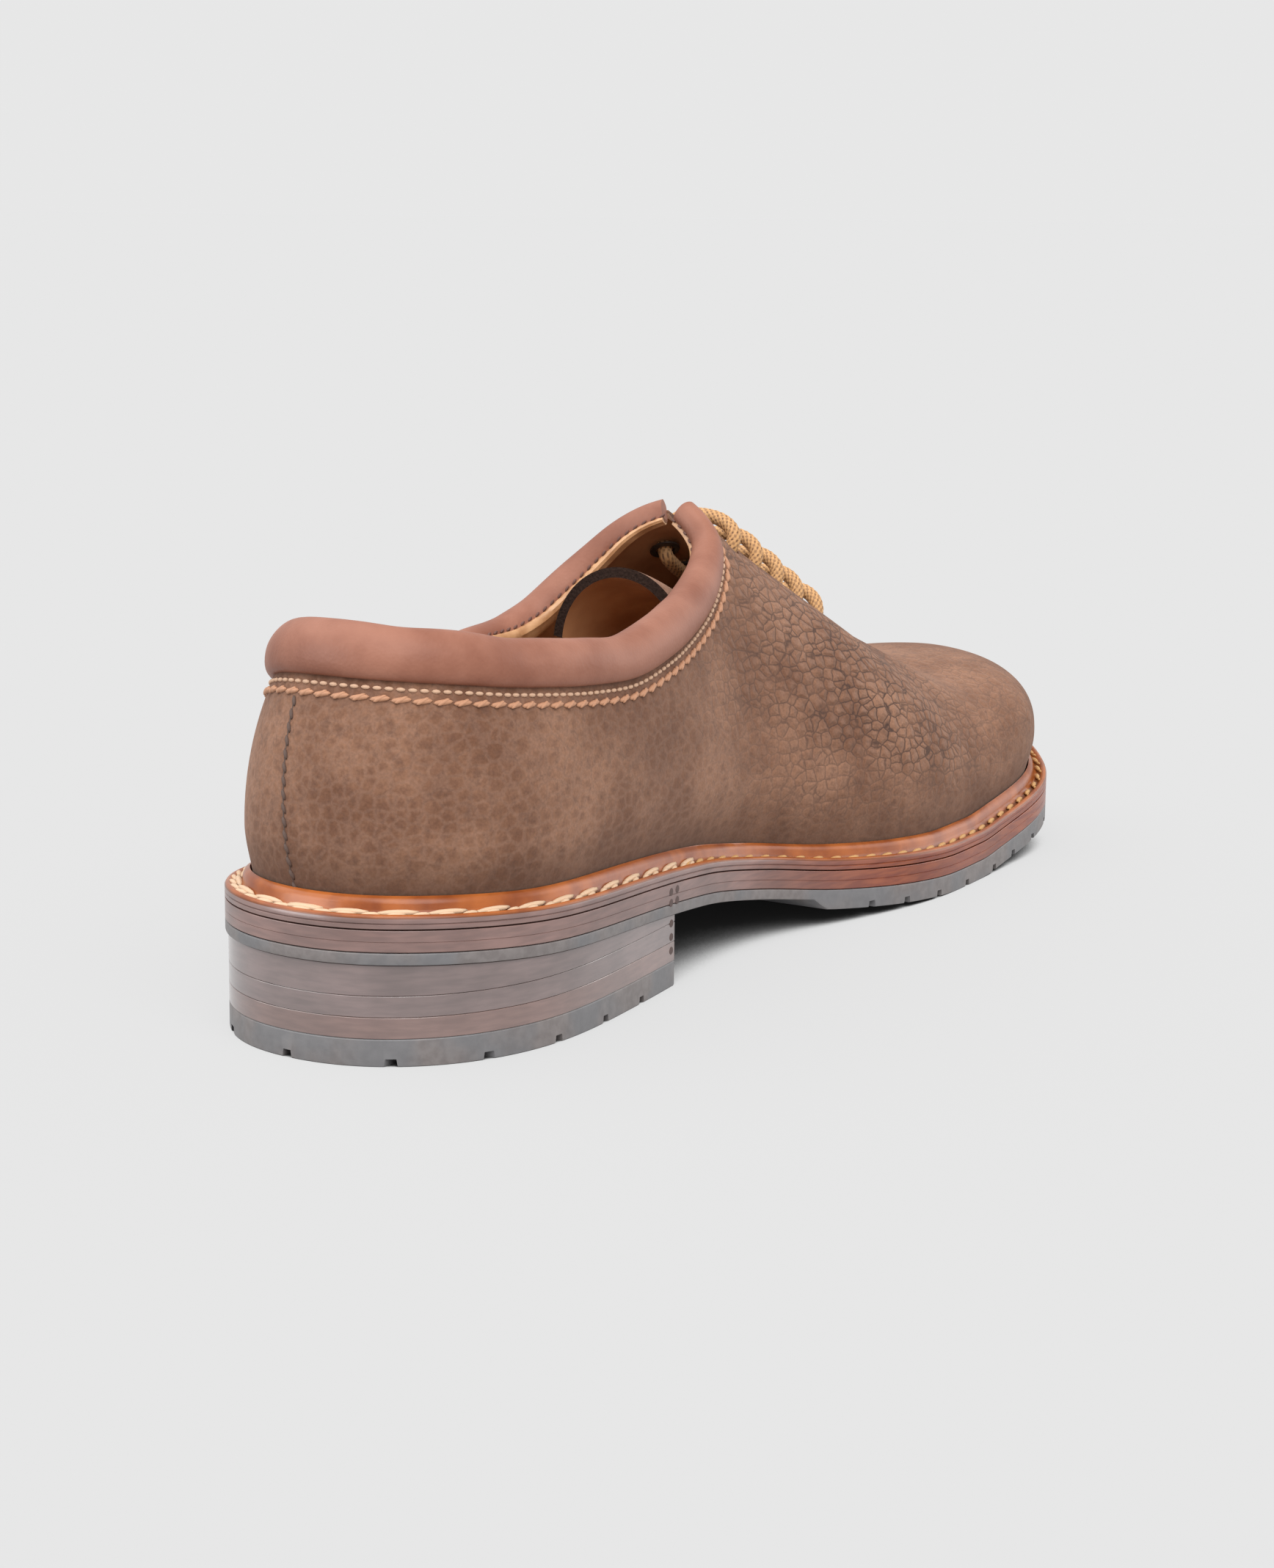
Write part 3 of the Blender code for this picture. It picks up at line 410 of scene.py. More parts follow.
# The upright columns stand closer together towards the throat, where the top line turns upwards
to_throat = (1 - np.arange(MID_STEPS) / MID_STEPS) ** 1.7
stations = [*(THROAT_TOP - (THROAT_TOP - HEEL_CENTRE) * to_throat)]
stations += [*np.linspace(THROAT_TOP, THROAT_END, MID_STEPS // 2 + 1)[:-1]]
stations += [*np.linspace(THROAT_END, TOE_CENTRE, MID_STEPS // 2 - 4)]
COLUMNS = [Column(HEEL_CENTRE, -math.pi + a) for a in fan]
COLUMNS += [Column(x, -QUARTER) for x in stations]
COLUMNS += [Column(TOE_CENTRE, -QUARTER + a) for a in fan[1:]]
COLUMNS += [Column(TOE_CENTRE, a) for a in fan]
COLUMNS += [Column(x, QUARTER) for x in reversed(stations)]
COLUMNS += [Column(HEEL_CENTRE, QUARTER + a) for a in fan[1:]]
N = len(COLUMNS)

board = []
for rise in (INSOLE + GAP, GAP):
    for column in COLUMNS:
        board.append(column.place(column.foot - WALL - 0.0001, seat_line(column.foot_x) + rise))
insole = new_piece("insole_board", board, ring_faces(2, N) + cap_strip(0, N) + cap_strip(N, N))
insole_leather = Finish("insole_leather", (0.42, 0.235, 0.115), 0.55)
fibres = insole_leather.noise(60.0, 5.0)
insole_leather.colour(insole_leather.blend(fibres, (0.36, 0.19, 0.09), (0.46, 0.27, 0.14)))
insole.data.materials.append(insole_leather.paint)
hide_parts("insole")


# Upper: the wholecut itself, one piece of pebbled nubuck closed by a seam at the back, lined with
# smooth tan leather. It is lasted over the insole, open at the collar and along the throat, where
# its two edges almost meet over the tongue. Its wall is drawn in every column of the last.
BACK_TOP = 0.0750
SIDE_TOP = 0.0683
OUTER_DROP = 0.0099
THROAT_GAP = 0.0064
EYELET_ROWS = 5
EYELET_PITCH = 0.0112
EYELET_FIRST = 0.0088
EYELET_INSET = 0.0075
HOLE_RADIUS = 0.0021
WALL_ROWS = 73
CREASE_SPAN = 0.060

# Top line of the upper: station share, share of the drop from BACK_TOP, share of the climb to the
# throat on the inner side and on the outer side
TOP_LINE = (
    (0.00, 0.00, 0.00, 0.00),
    (0.06, 0.20, 0.00, 0.00),
    (0.14, 0.62, 0.00, 0.00),
    (0.20, 0.88, 0.00, 0.00),
    (0.25, 1.00, 0.00, 0.00),
    (0.32, 1.00, 0.09, 0.02),
    (0.36, 1.00, 0.17, 0.09),
    (0.40, 1.00, 0.28, 0.13),
    (0.435, 1.00, 0.42, 0.26),
    (0.462, 1.00, 0.58, 0.52),
    (0.482, 1.00, 0.76, 0.80),
    (THROAT_TOP / SOLE_LENGTH, 1.00, 1.00, 1.00),
)

# Soft creases: station share and height share where the fold is deepest, its turn from upright in
# degrees, half length and half width in metres, depth in metres, positive for a ridge
CREASES = (
    (0.765, 0.80, 62, 0.030, 0.0070, -0.0010),
    (0.700, 0.62, 40, 0.030, 0.0080, -0.0007),
    (0.735, 0.66, 50, 0.028, 0.0060, 0.0005),
    (0.560, 0.45, 20, 0.022, 0.0080, -0.0005),
    (0.300, 0.55, -12, 0.018, 0.0100, -0.0005),
    (0.180, 0.60, 8, 0.016, 0.0080, -0.0004),
    (0.420, 0.40, 25, 0.024, 0.0120, -0.0007),
)


def run_along(line):
    """Distance along a line up to each of its points."""
    return np.concatenate([[0.0], np.cumsum(np.linalg.norm(np.diff(line, axis=0), axis=1))])


def throat_half_gap(station):
    share = (THROAT_END - station) / THROAT_LENGTH
    return THROAT_GAP / 2 * min(1.0, max(0.0, share)) ** 0.6


corner_heights = {}
for way in (-1, 1):
    corner = Column(THROAT_TOP, way * QUARTER)
    corner_heights[way] = corner.high(corner.turn_at_radius(throat_half_gap(THROAT_TOP)))[1]


def top_turn(column):
    """Where the wall ends at the top: at the collar, at the throat's slit, or at the crown."""
    if column.station >= THROAT_TOP:
        return column.turn_at_radius(throat_half_gap(column.station))
    way = -1 if column.way[1] <= 1e-9 else 1
    share = column.foot_x / SOLE_LENGTH
    side = SIDE_TOP - OUTER_DROP * max(0.0, column.way[1])
    drop = (BACK_TOP - side) * smooth(share, TOP_LINE, 1)
    climb = (corner_heights[way] - side) * smooth(share, TOP_LINE, 2 if way < 0 else 3)
    return column.turn_at_height(BACK_TOP - drop + climb)


def wall_line(column):
    """Dense line down the wall's outer side above its widest line, with the run from the top edge."""
    top = top_turn(column)
    line = np.array([column.high(top * (1 - k / 240)) for k in range(241)])
    line = np.vstack([line, [column.low(1 - k / 30) for k in range(1, 31)]])
    return line, run_along(line)


WALL_LINES = [wall_line(column) for column in COLUMNS]


def at_run(index, distance):
    """Radius and height on one column's wall at a distance down from its top edge."""
    line, run = WALL_LINES[index]
    return np.interp(distance, run, line[:, 0]), np.interp(distance, run, line[:, 1])


share_up = np.linspace(0.0, 1.0, WALL_ROWS)
shell = np.array([
    [column.place(*at_run(i, WALL_LINES[i][1][-1] * (1 - share))) for share in share_up]
    for i, column in enumerate(COLUMNS)
])
shell_out = np.cross(np.roll(shell, -1, 0) - np.roll(shell, 1, 0), np.gradient(shell, axis=1))
shell_out[np.linalg.norm(shell_out, axis=2) < 1e-12] = (0.0, 0.0, 1.0)
shell_out = unit(shell_out)
shell_out[np.einsum("ijk,ijk->ij", shell_out, shell - np.array([0.0, 0.0, 0.035])) < 0] *= -1

for share, height, turn, long, wide, depth in CREASES:
    dx = shell[:, :, 0] - share * SOLE_LENGTH + ORIGIN[0]
    dz = (share_up - height) * CREASE_SPAN
    lean = math.radians(turn)
    along = dz * math.cos(lean) - dx * math.sin(lean)
    across = dx * math.cos(lean) + dz * math.sin(lean)
    mask = np.exp(-(along / long) ** 2 - (across / wide) ** 2) * depth
    fade = np.clip(share_up * 6, 0, 1) * np.clip((1 - share_up) * 8, 0, 1)
    shell = shell + shell_out * (mask * fade)[:, :, None]

faces = []
for i in range(N):
    here, beside = i * WALL_ROWS, (i + 1) % N * WALL_ROWS
    faces += [(here + r, beside + r, beside + r + 1, here + r + 1) for r in range(WALL_ROWS - 1)]
upper = new_piece("upper_wholecut", shell.reshape(-1, 3), faces)
if min(upper.data.polygons, key=lambda f: f.center.y).normal.y > 0:
    upper.data.flip_normals()


def eyelet_place(row, side, inset=EYELET_INSET):
    """Where a lace hole is on the wall's outer side, and the way out of the leather there."""
    station = THROAT_TOP + EYELET_FIRST + row * EYELET_PITCH
    found = []
    for shift in (-0.001, 0.0, 0.001):
        column = Column(station + shift, side * QUARTER)
        line, run = wall_line(column)
        for more in (0.0, 0.0004):
            spot_at = [np.interp(inset + more, run, line[:, c]) for c in (0, 1)]
            found.append(column.place(*spot_at))
    out = unit(np.cross(found[4] - found[0], found[3] - found[2]))
    return found[2], out if out[2] > 0 else -out


def rod(start, end, radius, sides, points, faces):
    axis = unit(end - start)
    first = unit(np.cross(axis, [1.0, 0.0, 0.0]))
    second = np.cross(axis, first)
    base = len(points)
    for centre in (start, end):
        for k in range(sides):
            a = 2 * math.pi * k / sides
            points.append(centre + radius * (math.cos(a) * first + math.sin(a) * second))
    for k in range(sides):
        beside = (k + 1) % sides
        faces.append((base + k, base + beside, base + sides + beside, base + sides + k))
    faces += [tuple(base + k for k in range(sides)), tuple(base + sides + k for k in range(sides))]


def finish_modifiers(piece):
    """Turn a piece with modifiers into a plain mesh."""
    graph = bpy.context.evaluated_depsgraph_get()
    mesh = bpy.data.meshes.new_from_object(piece.evaluated_get(graph))
    piece.modifiers.clear()
    piece.data = mesh


def cut_away(piece, points, faces):
    """Take closed solids out of a piece."""
    mesh = bpy.data.meshes.new("cutter")
    mesh.from_pydata([tuple(map(float, p)) for p in points], [], faces)
    work = bmesh.new()
    work.from_mesh(mesh)
    bmesh.ops.recalc_face_normals(work, faces=work.faces)
    work.to_mesh(mesh)
    work.free()
    tool = bpy.data.objects.new("cutter", mesh)
    bpy.context.collection.objects.link(tool)
    step = piece.modifiers.new("cut", "BOOLEAN")
    step.operation = "DIFFERENCE"
    step.solver = "EXACT"
    step.object = tool
    finish_modifiers(piece)
    piece.data.set_sharp_from_angle(angle=SHARP)
    bpy.data.objects.remove(tool, do_unlink=True)


def ease(x, low, high):
    """0 below low, 1 above high, smooth between."""
    t = min(1.0, max(0.0, (x - low) / (high - low)))
    return t * t * (3 - 2 * t)


def spread(x, middle, before, after):
    """A soft hump round the middle of a run."""
    return math.exp(-((x - middle) / (before if x < middle else after)) ** 2)


# How strongly the pebbles show, and how strongly painted shade darkens the nap low on the wall over the welt,
# written on the mesh
pebble = upper.data.attributes.new("pebble", "FLOAT", "POINT")
painted_low_shade = upper.data.attributes.new("painted_low_shade", "FLOAT", "POINT")
for vertex in upper.data.vertices:
    x = vertex.co.x + ORIGIN[0]
    share = x / SOLE_LENGTH
    base = seat_line(x)
    top = TOE_TOP + (INSTEP_TOP - TOE_TOP) * smooth(share, LAST, 1)
    height = (vertex.co.z - base) / (top - base)
    strong = spread(share, 0.63, 0.24, 0.15) * ease(height, 0.12, 0.50)
    quarter = 0.16 * spread(share, 0.30, 0.30, 0.20) * ease(height, 0.10, 0.40)
    flank = 0.55 * spread(share, 0.52, 0.12, 0.12) * ease(height, 0.02, 0.30)
    nose = 0.35 * ease(share, 0.70, 0.80) * ease(height, 0.30, 0.60)
    pebble.data[vertex.index].value = min(1.0, max(strong, quarter, flank, nose))
    painted_low_shade.data[vertex.index].value = 1 - ease(vertex.co.z - base, 0.003, 0.017 - 0.003 * ease(share, 0.6, 0.8))

nubuck = Finish("nubuck", (0.200, 0.125, 0.090), 0.9, {
    "Sheen Weight": 0.16, "Sheen Roughness": 0.5, "Sheen Tint": (0.85, 0.66, 0.56, 1.0),
    "Specular IOR Level": 0.10,
})
strength = nubuck.mark("pebble")
smooth_part = nubuck.node("ShaderNodeMath", {0: 1.0, 1: strength}, operation="SUBTRACT").outputs[0]
# The pebbles are cells with wandering edges, a little longer along the shoe
long = nubuck.stretched((0.70, 1.0, 1.0))
wander = nubuck.node("ShaderNodeTexNoise", {"Vector": long, "Scale": 450.0, "Detail": 2.0}).outputs["Color"]
shift = nubuck.node("ShaderNodeVectorMath", {0: wander, "Scale": 0.0010}, operation="SCALE").outputs["Vector"]
moved = nubuck.node("ShaderNodeVectorMath", {0: long, 1: shift}, operation="ADD").outputs["Vector"]
cells = {"Vector": moved, "Scale": 370.0, "Randomness": 0.80}
to_edge, to_centre = (
    nubuck.node("ShaderNodeTexVoronoi", cells, feature=feature).outputs["Distance"]
    for feature in ("DISTANCE_TO_EDGE", "F1")
)
fine = nubuck.noise(1700.0, 4.0)
cloud = nubuck.noise(45.0, 5.0, Roughness=0.65)
patches = nubuck.noise(130.0, 2.0)
specks = nubuck.noise(420.0, 4.0, Roughness=0.7)
broken = nubuck.ramp(patches, 0.34, 0.54, 0.65, 1.0)
crack = nubuck.times(nubuck.ramp(to_edge, 0.0, 0.100, 1.0, 0.0), broken, strength)
centre = nubuck.ramp(to_centre, 0.10, 0.45, 1.0, 0.0)
net = nubuck.ramp(to_edge, 0.0, 0.22, 1.0, 0.0)
ground = nubuck.blend(nubuck.ramp(cloud, 0.32, 0.68), (0.143, 0.066, 0.039), (0.264, 0.137, 0.085))
# Tones laid over the ground in turn: how much, and which
for amount, tone in (
    (nubuck.times(centre, strength, 0.45), (0.275, 0.155, 0.108)),
    (nubuck.times(centre, smooth_part, broken, 0.45), (0.125, 0.060, 0.040)),
    (nubuck.times(net, smooth_part, 0.28), (0.300, 0.180, 0.132)),
    (nubuck.times(nubuck.ramp(specks, 0.50, 0.68), 0.45), (0.120, 0.064, 0.046)),
    (crack, (0.058, 0.032, 0.025)),
):
    ground = nubuck.blend(amount, ground, tone)
ground = nubuck.shade(ground, nubuck.ramp(fine, 0.25, 0.75, 0.84, 1.10))
# Painted shade: the nap is darkened low on the wall, fully within 3 mm of the welt and fading out higher up.
nubuck.colour(nubuck.blend(nubuck.times(nubuck.mark("painted_low_shade"), 0.62), ground, (0.072, 0.040, 0.028)))
dome = nubuck.times(nubuck.ramp(to_edge, 0.0, 0.38), strength)
nubuck.raise_by(fine, 0.00010, 0.5, under=nubuck.raise_by(dome, 0.0005, 0.9))

lining = Finish("lining_leather", (0.33, 0.170, 0.095), 0.5)
tone, cloud = lining.mottle(90.0, 6.0, (0.340, 0.140, 0.058), (0.490, 0.240, 0.112))
lining.raise_by(cloud, 0.0003, 0.4)

upper.data.materials.append(nubuck.paint)
upper.data.materials.append(lining.paint)
wall = upper.modifiers.new("wall", "SOLIDIFY")
wall.thickness = WALL
wall.offset = -1.0
wall.material_offset = 1
wall.material_offset_rim = 0
finish_modifiers(upper)
hole_points, hole_faces = [], []
for side in (-1, 1):
    for row in range(EYELET_ROWS):
        centre, out = eyelet_place(row, side)
        rod(centre - out * 0.006, centre + out * 0.004, HOLE_RADIUS, 16, hole_points, hole_faces)
cut_away(upper, hole_points, hole_faces)
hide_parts("upper")


# Back seam: the closed seam up the middle of the heel, where the two ends of the wholecut meet. It
# is a shallow groove in the nap with a row of small dark stitches on its inner side.
SEAM_STITCH = 0.0026


def surface_at(index, distance):
    """Place on the wall of one column and the way out of the leather there."""
    here = COLUMNS[index].place(*at_run(index, distance))
    below = COLUMNS[index].place(*at_run(index, distance + 0.0008))
    before = COLUMNS[index - 1].place(*at_run(index - 1, distance))
    after = COLUMNS[(index + 1) % N].place(*at_run((index + 1) % N, distance))
    out = unit(np.cross(after - before, below - here))
    way = np.array([*COLUMNS[index].way, 0.4])
    return here, out if out @ way > 0 else -out


def even_line(line, pitch, others=()):
    """Points at an even pitch along a line, with other rows of values taken along."""
    run = run_along(line)
    at = np.linspace(0.0, run[-1], max(2, int(round(run[-1] / pitch)) + 1))
    return [np.stack([np.interp(at, run, row[:, c]) for c in range(3)], axis=1) for row in (line, *others)]


def stitch_tree():
    """Geometry Nodes tree that lays one thread on every point, turned along the point's run."""
    graph = Graph(bpy.data.node_groups.new("stitch", "GeometryNodeTree"))
    sockets = [("Geometry", "INPUT", "Geometry"), ("Thread", "INPUT", "Material")]
    sockets.append(("Geometry", "OUTPUT", "Geometry"))
    sockets += [(label, "INPUT", "Float") for label in ("Length", "Width", "Lean", "Rise")]
    for label, way, kind in sockets:
        graph.tree.interface.new_socket(label, in_out=way, socket_type="NodeSocket" + kind)
    enter = graph.node("NodeGroupInput").outputs
    ball = graph.node("GeometryNodeMeshUVSphere", {"Segments": 8, "Rings": 6, "Radius": 0.5}).outputs["Mesh"]
    run, out = (
        graph.node("GeometryNodeInputNamedAttribute", {"Name": label}, data_type="FLOAT_VECTOR").outputs[0]
        for label in ("run", "out")
    )
    turn = graph.node(
        "FunctionNodeAxesToRotation", {"Primary Axis": out, "Secondary Axis": run},
        primary_axis="Z", secondary_axis="X",
    ).outputs[0]
    about_out = {"Axis": (0.0, 0.0, 1.0), "Angle": enter["Lean"]}
    lean = graph.node("FunctionNodeAxisAngleToRotation", about_out).outputs[0]
    both = graph.node("FunctionNodeRotateRotation", {0: turn, 1: lean}, rotation_space="LOCAL").outputs[0]
    sizes = {0: enter["Length"], 1: enter["Width"], 2: enter["Width"]}
    size = graph.node("ShaderNodeCombineXYZ", sizes).outputs[0]
    rise = graph.node("ShaderNodeVectorMath", {0: out, "Scale": enter["Rise"]}, operation="SCALE").outputs[0]
    places = graph.node("GeometryNodeSetPosition", {"Geometry": enter["Geometry"], "Offset": rise}).outputs[0]
    copies = graph.node("GeometryNodeInstanceOnPoints", {
        "Points": places, "Instance": ball, "Rotation": both, "Scale": size,
    }).outputs[0]
    real = graph.node("GeometryNodeRealizeInstances", {0: copies}).outputs[0]
    dress = graph.node("GeometryNodeSetMaterial", {"Geometry": real, "Material": enter["Thread"]}).outputs[0]
    graph.node("NodeGroupOutput", {0: dress})
    return graph.tree


STITCH = stitch_tree()


def stitch_row(name, line, outs, pitch, settings, thread):
    """A row of threads laid along a line on the surface."""
    points, normals = even_line(line, pitch, (outs,))
    runs = unit(np.gradient(points, axis=0))
    mesh = bpy.data.meshes.new(name)
    mesh.from_pydata([tuple(p) for p in points], [], [])
    for label, values in (("run", runs), ("out", normals)):
        layer = mesh.attributes.new(label, "FLOAT_VECTOR", "POINT")
        layer.data.foreach_set("vector", np.ascontiguousarray(values, dtype=np.float32).ravel())
    row = bpy.data.objects.new(name, mesh)
    bpy.context.collection.objects.link(row)
    step = row.modifiers.new("stitches", "NODES")
    step.node_group = STITCH
    identifiers = {item.name: item.identifier for item in STITCH.interface.items_tree if item.in_out == "INPUT"}
    for label, value in settings.items():
        step[identifiers[label]] = value
    step[identifiers["Thread"]] = thread.paint
    finish_modifiers(row)
    row.data.shade_smooth()
    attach(row, "root")
    return row


def rod_faces(rings, count):
    """Quads between rings of points, with both ends closed."""
    return ring_faces(rings, count) + [tuple(range(count)), tuple(range((rings - 1) * count, rings * count))]


def carried(line, start):
    """Each point of a line with two directions across it that don't twist about it."""
    tangent = unit(np.gradient(line, axis=0))
    side = np.cross(tangent[0], start)
    for p, t in zip(line, tangent):
        side = unit(side - t * (side @ t))
        yield p, side, np.cross(side, t)


SEAM_SIDES = 6
SEAM_RADIUS = 0.00022
seam_thread = Finish("seam_thread", (0.075, 0.040, 0.028), 0.7)
seam_line, seam_outs = [], []
for share in np.linspace(0.12, 0.995, 60):
    back = N - (19 - 11 * share) / 90 * FAN_STEPS
    index, rest = int(back), back - int(back)
    (place_a, out_a), (place_b, out_b) = (surface_at(i, WALL_LINES[i][1][-1] * share) for i in (index, index + 1))
    seam_line.append(place_a * (1 - rest) + place_b * rest)
    seam_outs.append(out_a * (1 - rest) + out_b * rest)
seam_line, seam_outs = np.array(seam_line), np.array(seam_outs)
groove_points = []
for p, side, other in carried(seam_line - seam_outs * 0.0001, [0.0, 0.0, 1.0]):
    for a in np.arange(SEAM_SIDES) * 2 * math.pi / SEAM_SIDES:
        groove_points.append(p + SEAM_RADIUS * (math.cos(a) * side + math.sin(a) * other))
groove = new_piece("back_seam_line", groove_points, rod_faces(len(seam_line), SEAM_SIDES))
groove.data.materials.append(seam_thread.paint)
picks = stitch_row(
    "back_seam_stitches", seam_line - np.array([0.0, 0.0002, 0.0]), seam_outs, SEAM_STITCH,
    {"Length": 0.0024, "Width": 0.0009, "Lean": 0.35, "Rise": 0.0001}, seam_thread,
)


# Collar stitching: under the roll a row of fine cream stitches and below it a row of thick twisted tan
# thread. Both run from the throat round the heel and back.
FINE_DOWN = 0.0017
THICK_DOWN = 0.0038
first_throat, last_throat = (
    min(
        (i for i in range(N) if COLUMNS[i].way[1] * side >= 0),
        key=lambda i: abs(COLUMNS[i].station - THROAT_TOP) + 10 * abs(COLUMNS[i].way[0]),
    )
    for side in (-1, 1)
)


def path_on_wall(distances, first, last):
    """Line on the wall from one column to another, at its own distance down from the edge."""
    line, outs = [], []
    for k in range(first, last + 1):
        place, out = surface_at(k % N, distances[k % N])
        line.append(place)
        outs.append(out)
    return np.array(line), np.array(outs)


cream_thread = Finish("cream_thread", (0.56, 0.36, 0.24), 0.75)
tan_thread = Finish("tan_thread", (0.46, 0.230, 0.130), 0.7)
for label, down, pitch, settings, thread in (
    ("fine", FINE_DOWN, 0.0023, {"Length": 0.0019, "Width": 0.0009, "Lean": 0.0, "Rise": 0.0001}, cream_thread),
    ("thick", THICK_DOWN, 0.0041, {"Length": 0.0043, "Width": 0.0012, "Lean": 0.13, "Rise": 0.0001}, tan_thread),
    ("twist", THICK_DOWN, 0.0041, {"Length": 0.0030, "Width": 0.0009, "Lean": 0.55, "Rise": 0.00035}, tan_thread),
):
    line, outs = path_on_wall([down] * N, last_throat, first_throat + N)
    row = stitch_row("collar_stitch_" + label, line, outs, pitch, settings, thread)


# Collar roll: a padded roll of smooth collar leather along the top line, from the throat round the
# heel and back. It is sewn to the top edge of the upper and creases softly where it bends.
ROLL_HEIGHT = 0.0115
ROLL_WIDTH = 0.0085
ROLL_CLEAR = 0.0006
# Section of the roll: share of the width outwards, share of the height upwards
ROLL_SECTION = (
    (0.28, 0.00), (0.47, 0.14), (0.56, 0.40), (0.50, 0.68), (0.30, 0.92),
    (0.00, 1.00), (-0.30, 0.92), (-0.50, 0.68), (-0.54, 0.38), (-0.44, 0.13), (-0.28, 0.00), (0.0, 0.01),
)
# Roll from either end at the throat: share of its run, share of its height on the inner and on the
# outer side, share of its width
ROLL_LINE = (
    (0.00, 0.43, 0.26, 0.66),
    (0.05, 0.58, 0.39, 0.80),
    (0.10, 0.74, 0.56, 0.92),
    (0.15, 0.81, 0.74, 1.00),
    (0.30, 0.85, 0.85, 1.00),
    (0.40, 0.95, 0.95, 1.00),
    (0.50, 1.00, 1.00, 1.00),
)
# Creases of the roll: share of its run, slant over its section, half width in metres, depth in metres
ROLL_CREASES = (
    (0.060, 0.25, 0.0060, 0.0002),
    (0.190, 0.35, 0.0080, 0.0002),
    (0.300, -0.20, 0.0060, 0.0002),
    (0.440, 0.30, 0.0045, 0.0002),
    (0.560, -0.25, 0.0060, 0.0002),
    (0.640, 0.20, 0.0070, 0.0002),
    (0.745, 0.35, 0.0080, 0.0003),
    (0.860, -0.30, 0.0060, 0.0002),
)
roll_path, roll_out = path_on_wall([0.0003] * N, last_throat, first_throat + N)
roll_path = roll_path - roll_out * WALL / 2
roll_path, roll_out = even_line(roll_path, 0.0009, (roll_out,))
for _ in range(6):
    roll_path[1:-1] = (roll_path[:-2] + 2 * roll_path[1:-1] + roll_path[2:]) / 4
    roll_out[1:-1] = (roll_out[:-2] + 2 * roll_out[1:-1] + roll_out[2:]) / 4
section = closed_spline(ROLL_SECTION, 48)
length = run_along(roll_path)
roll_points, frames = [], []
for k, (p, t, n) in enumerate(zip(roll_path, unit(np.gradient(roll_path, axis=0)), roll_out)):
    n = unit(n - t * (n @ t))
    rise = np.cross(n, t)
    if rise[2] < 0:
        rise = -rise
    at = min(length[k], length[-1] - length[k]) / length[-1]
    tall = ROLL_HEIGHT * smooth(at, ROLL_LINE, 2 if length[k] < length[-1] / 2 else 1)
    wide = ROLL_WIDTH * smooth(at, ROLL_LINE, 3)
    frames.append((p, t, n, rise, wide, tall))
    for a, b in section:
        shrink = 0.0
        for share, slant, half, depth in ROLL_CREASES:
            off = length[k] - share * length[-1] + slant * (b - 0.5) * tall
            shrink += depth * math.exp(-(off / half) ** 2) * ease(b, 0.1, 0.5)
        scale = 1 - shrink / (wide * 0.5)
        high = tall * (b if b < 0.3 else 0.3 + (b - 0.3) * scale) + ROLL_CLEAR * min(1.0, 0.3 + b * 3)
        roll_points.append(p + n * wide * a * scale + rise * high)
roll = new_piece("collar_roll_padded", roll_points, rod_faces(len(roll_path), len(section)))
roll_leather = Finish("collar_leather", (0.330, 0.175, 0.130), 0.50, {"Specular IOR Level": 0.25})
roll_leather.mottle(70.0, 4.0, (0.218, 0.080, 0.048), (0.308, 0.131, 0.085))
pores = {"Vector": roll_leather.spot, "Scale": 1300.0}
grain = roll_leather.node("ShaderNodeTexVoronoi", pores).outputs["Distance"]
swell = roll_leather.raise_by(roll_leather.noise(210.0, 3.0), 0.0004, 0.3)
roll_leather.raise_by(grain, 0.00008, 0.5, under=swell)
roll.data.materials.append(roll_leather.paint)
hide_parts("collar_roll")


# Lining edge: golden tan lining leather turned up over the inner face of the roll, higher on the outer side,
# and stitched there with small dark stitches, so that it ends in a soft rolled ridge.
golden_lining = Finish("golden_lining", (0.52, 0.275, 0.120), 0.42)
tone, cloud = golden_lining.mottle(260.0, 4.0, (0.42, 0.200, 0.085), (0.62, 0.350, 0.175))
golden_lining.raise_by(cloud, 0.0005, 0.4)
dark_thread = Finish("dark_thread", (0.120, 0.048, 0.034), 0.7)
# Height of the turned edge on the outer and the inner side, as shares of the roll's height
EDGE_TOP_OUTER = 0.86
EDGE_TOP_INNER = 0.63
# Section of the turned edge: share of its height, lift off the roll
EDGE_SECTION = (
    (0.06, 0.0000), (0.22, 0.0003), (0.44, 0.0004), (0.67, 0.0005), (0.80, 0.0009), (0.89, 0.0010),
    (0.97, 0.0006), (1.00, -0.0003), (0.89, -0.0010), (0.32, -0.0010),
)
inner_half = np.array(ROLL_SECTION[5:11][::-1])
edge_points, stitch_line, stitch_out = [], [], []


def on_roll(frame_here, b, off):
    """Place and way out on the inner half of the roll at a share of its height, lifted off it."""
    p, t, n, rise, wide, tall = frame_here
    spots = []
    for share in (b - 0.03, b, b + 0.03):
        spots.append(n * wide * np.interp(share, inner_half[:, 1], inner_half[:, 0]) + rise * tall * share)
    slope = spots[2] - spots[0]
    out = unit(np.cross(slope, t))
    if out @ n > 0:
        out = -out
    return p + spots[1] + rise * ROLL_CLEAR + out * off, out


for k, frame_here in enumerate(frames):
    high = EDGE_TOP_OUTER + (EDGE_TOP_INNER - EDGE_TOP_OUTER) * ease(k / len(frames), 0.38, 0.55)
    for share, off in EDGE_SECTION:
        edge_points.append(on_roll(frame_here, share * high, off)[0])
    place, out = on_roll(frame_here, high + 0.03, 0.0001)
    stitch_line.append(place)
    stitch_out.append(out)
turned_edge = new_piece("lining_edge", edge_points, rod_faces(len(frames), len(EDGE_SECTION)))
turned_edge.data.materials.append(golden_lining.paint)
row = stitch_row(
    "lining_edge_stitches", np.array(stitch_line), unit(np.array(stitch_out)), 0.0024,
    {"Length": 0.0017, "Width": 0.0007, "Lean": 0.35, "Rise": 0.0}, dark_thread,
)


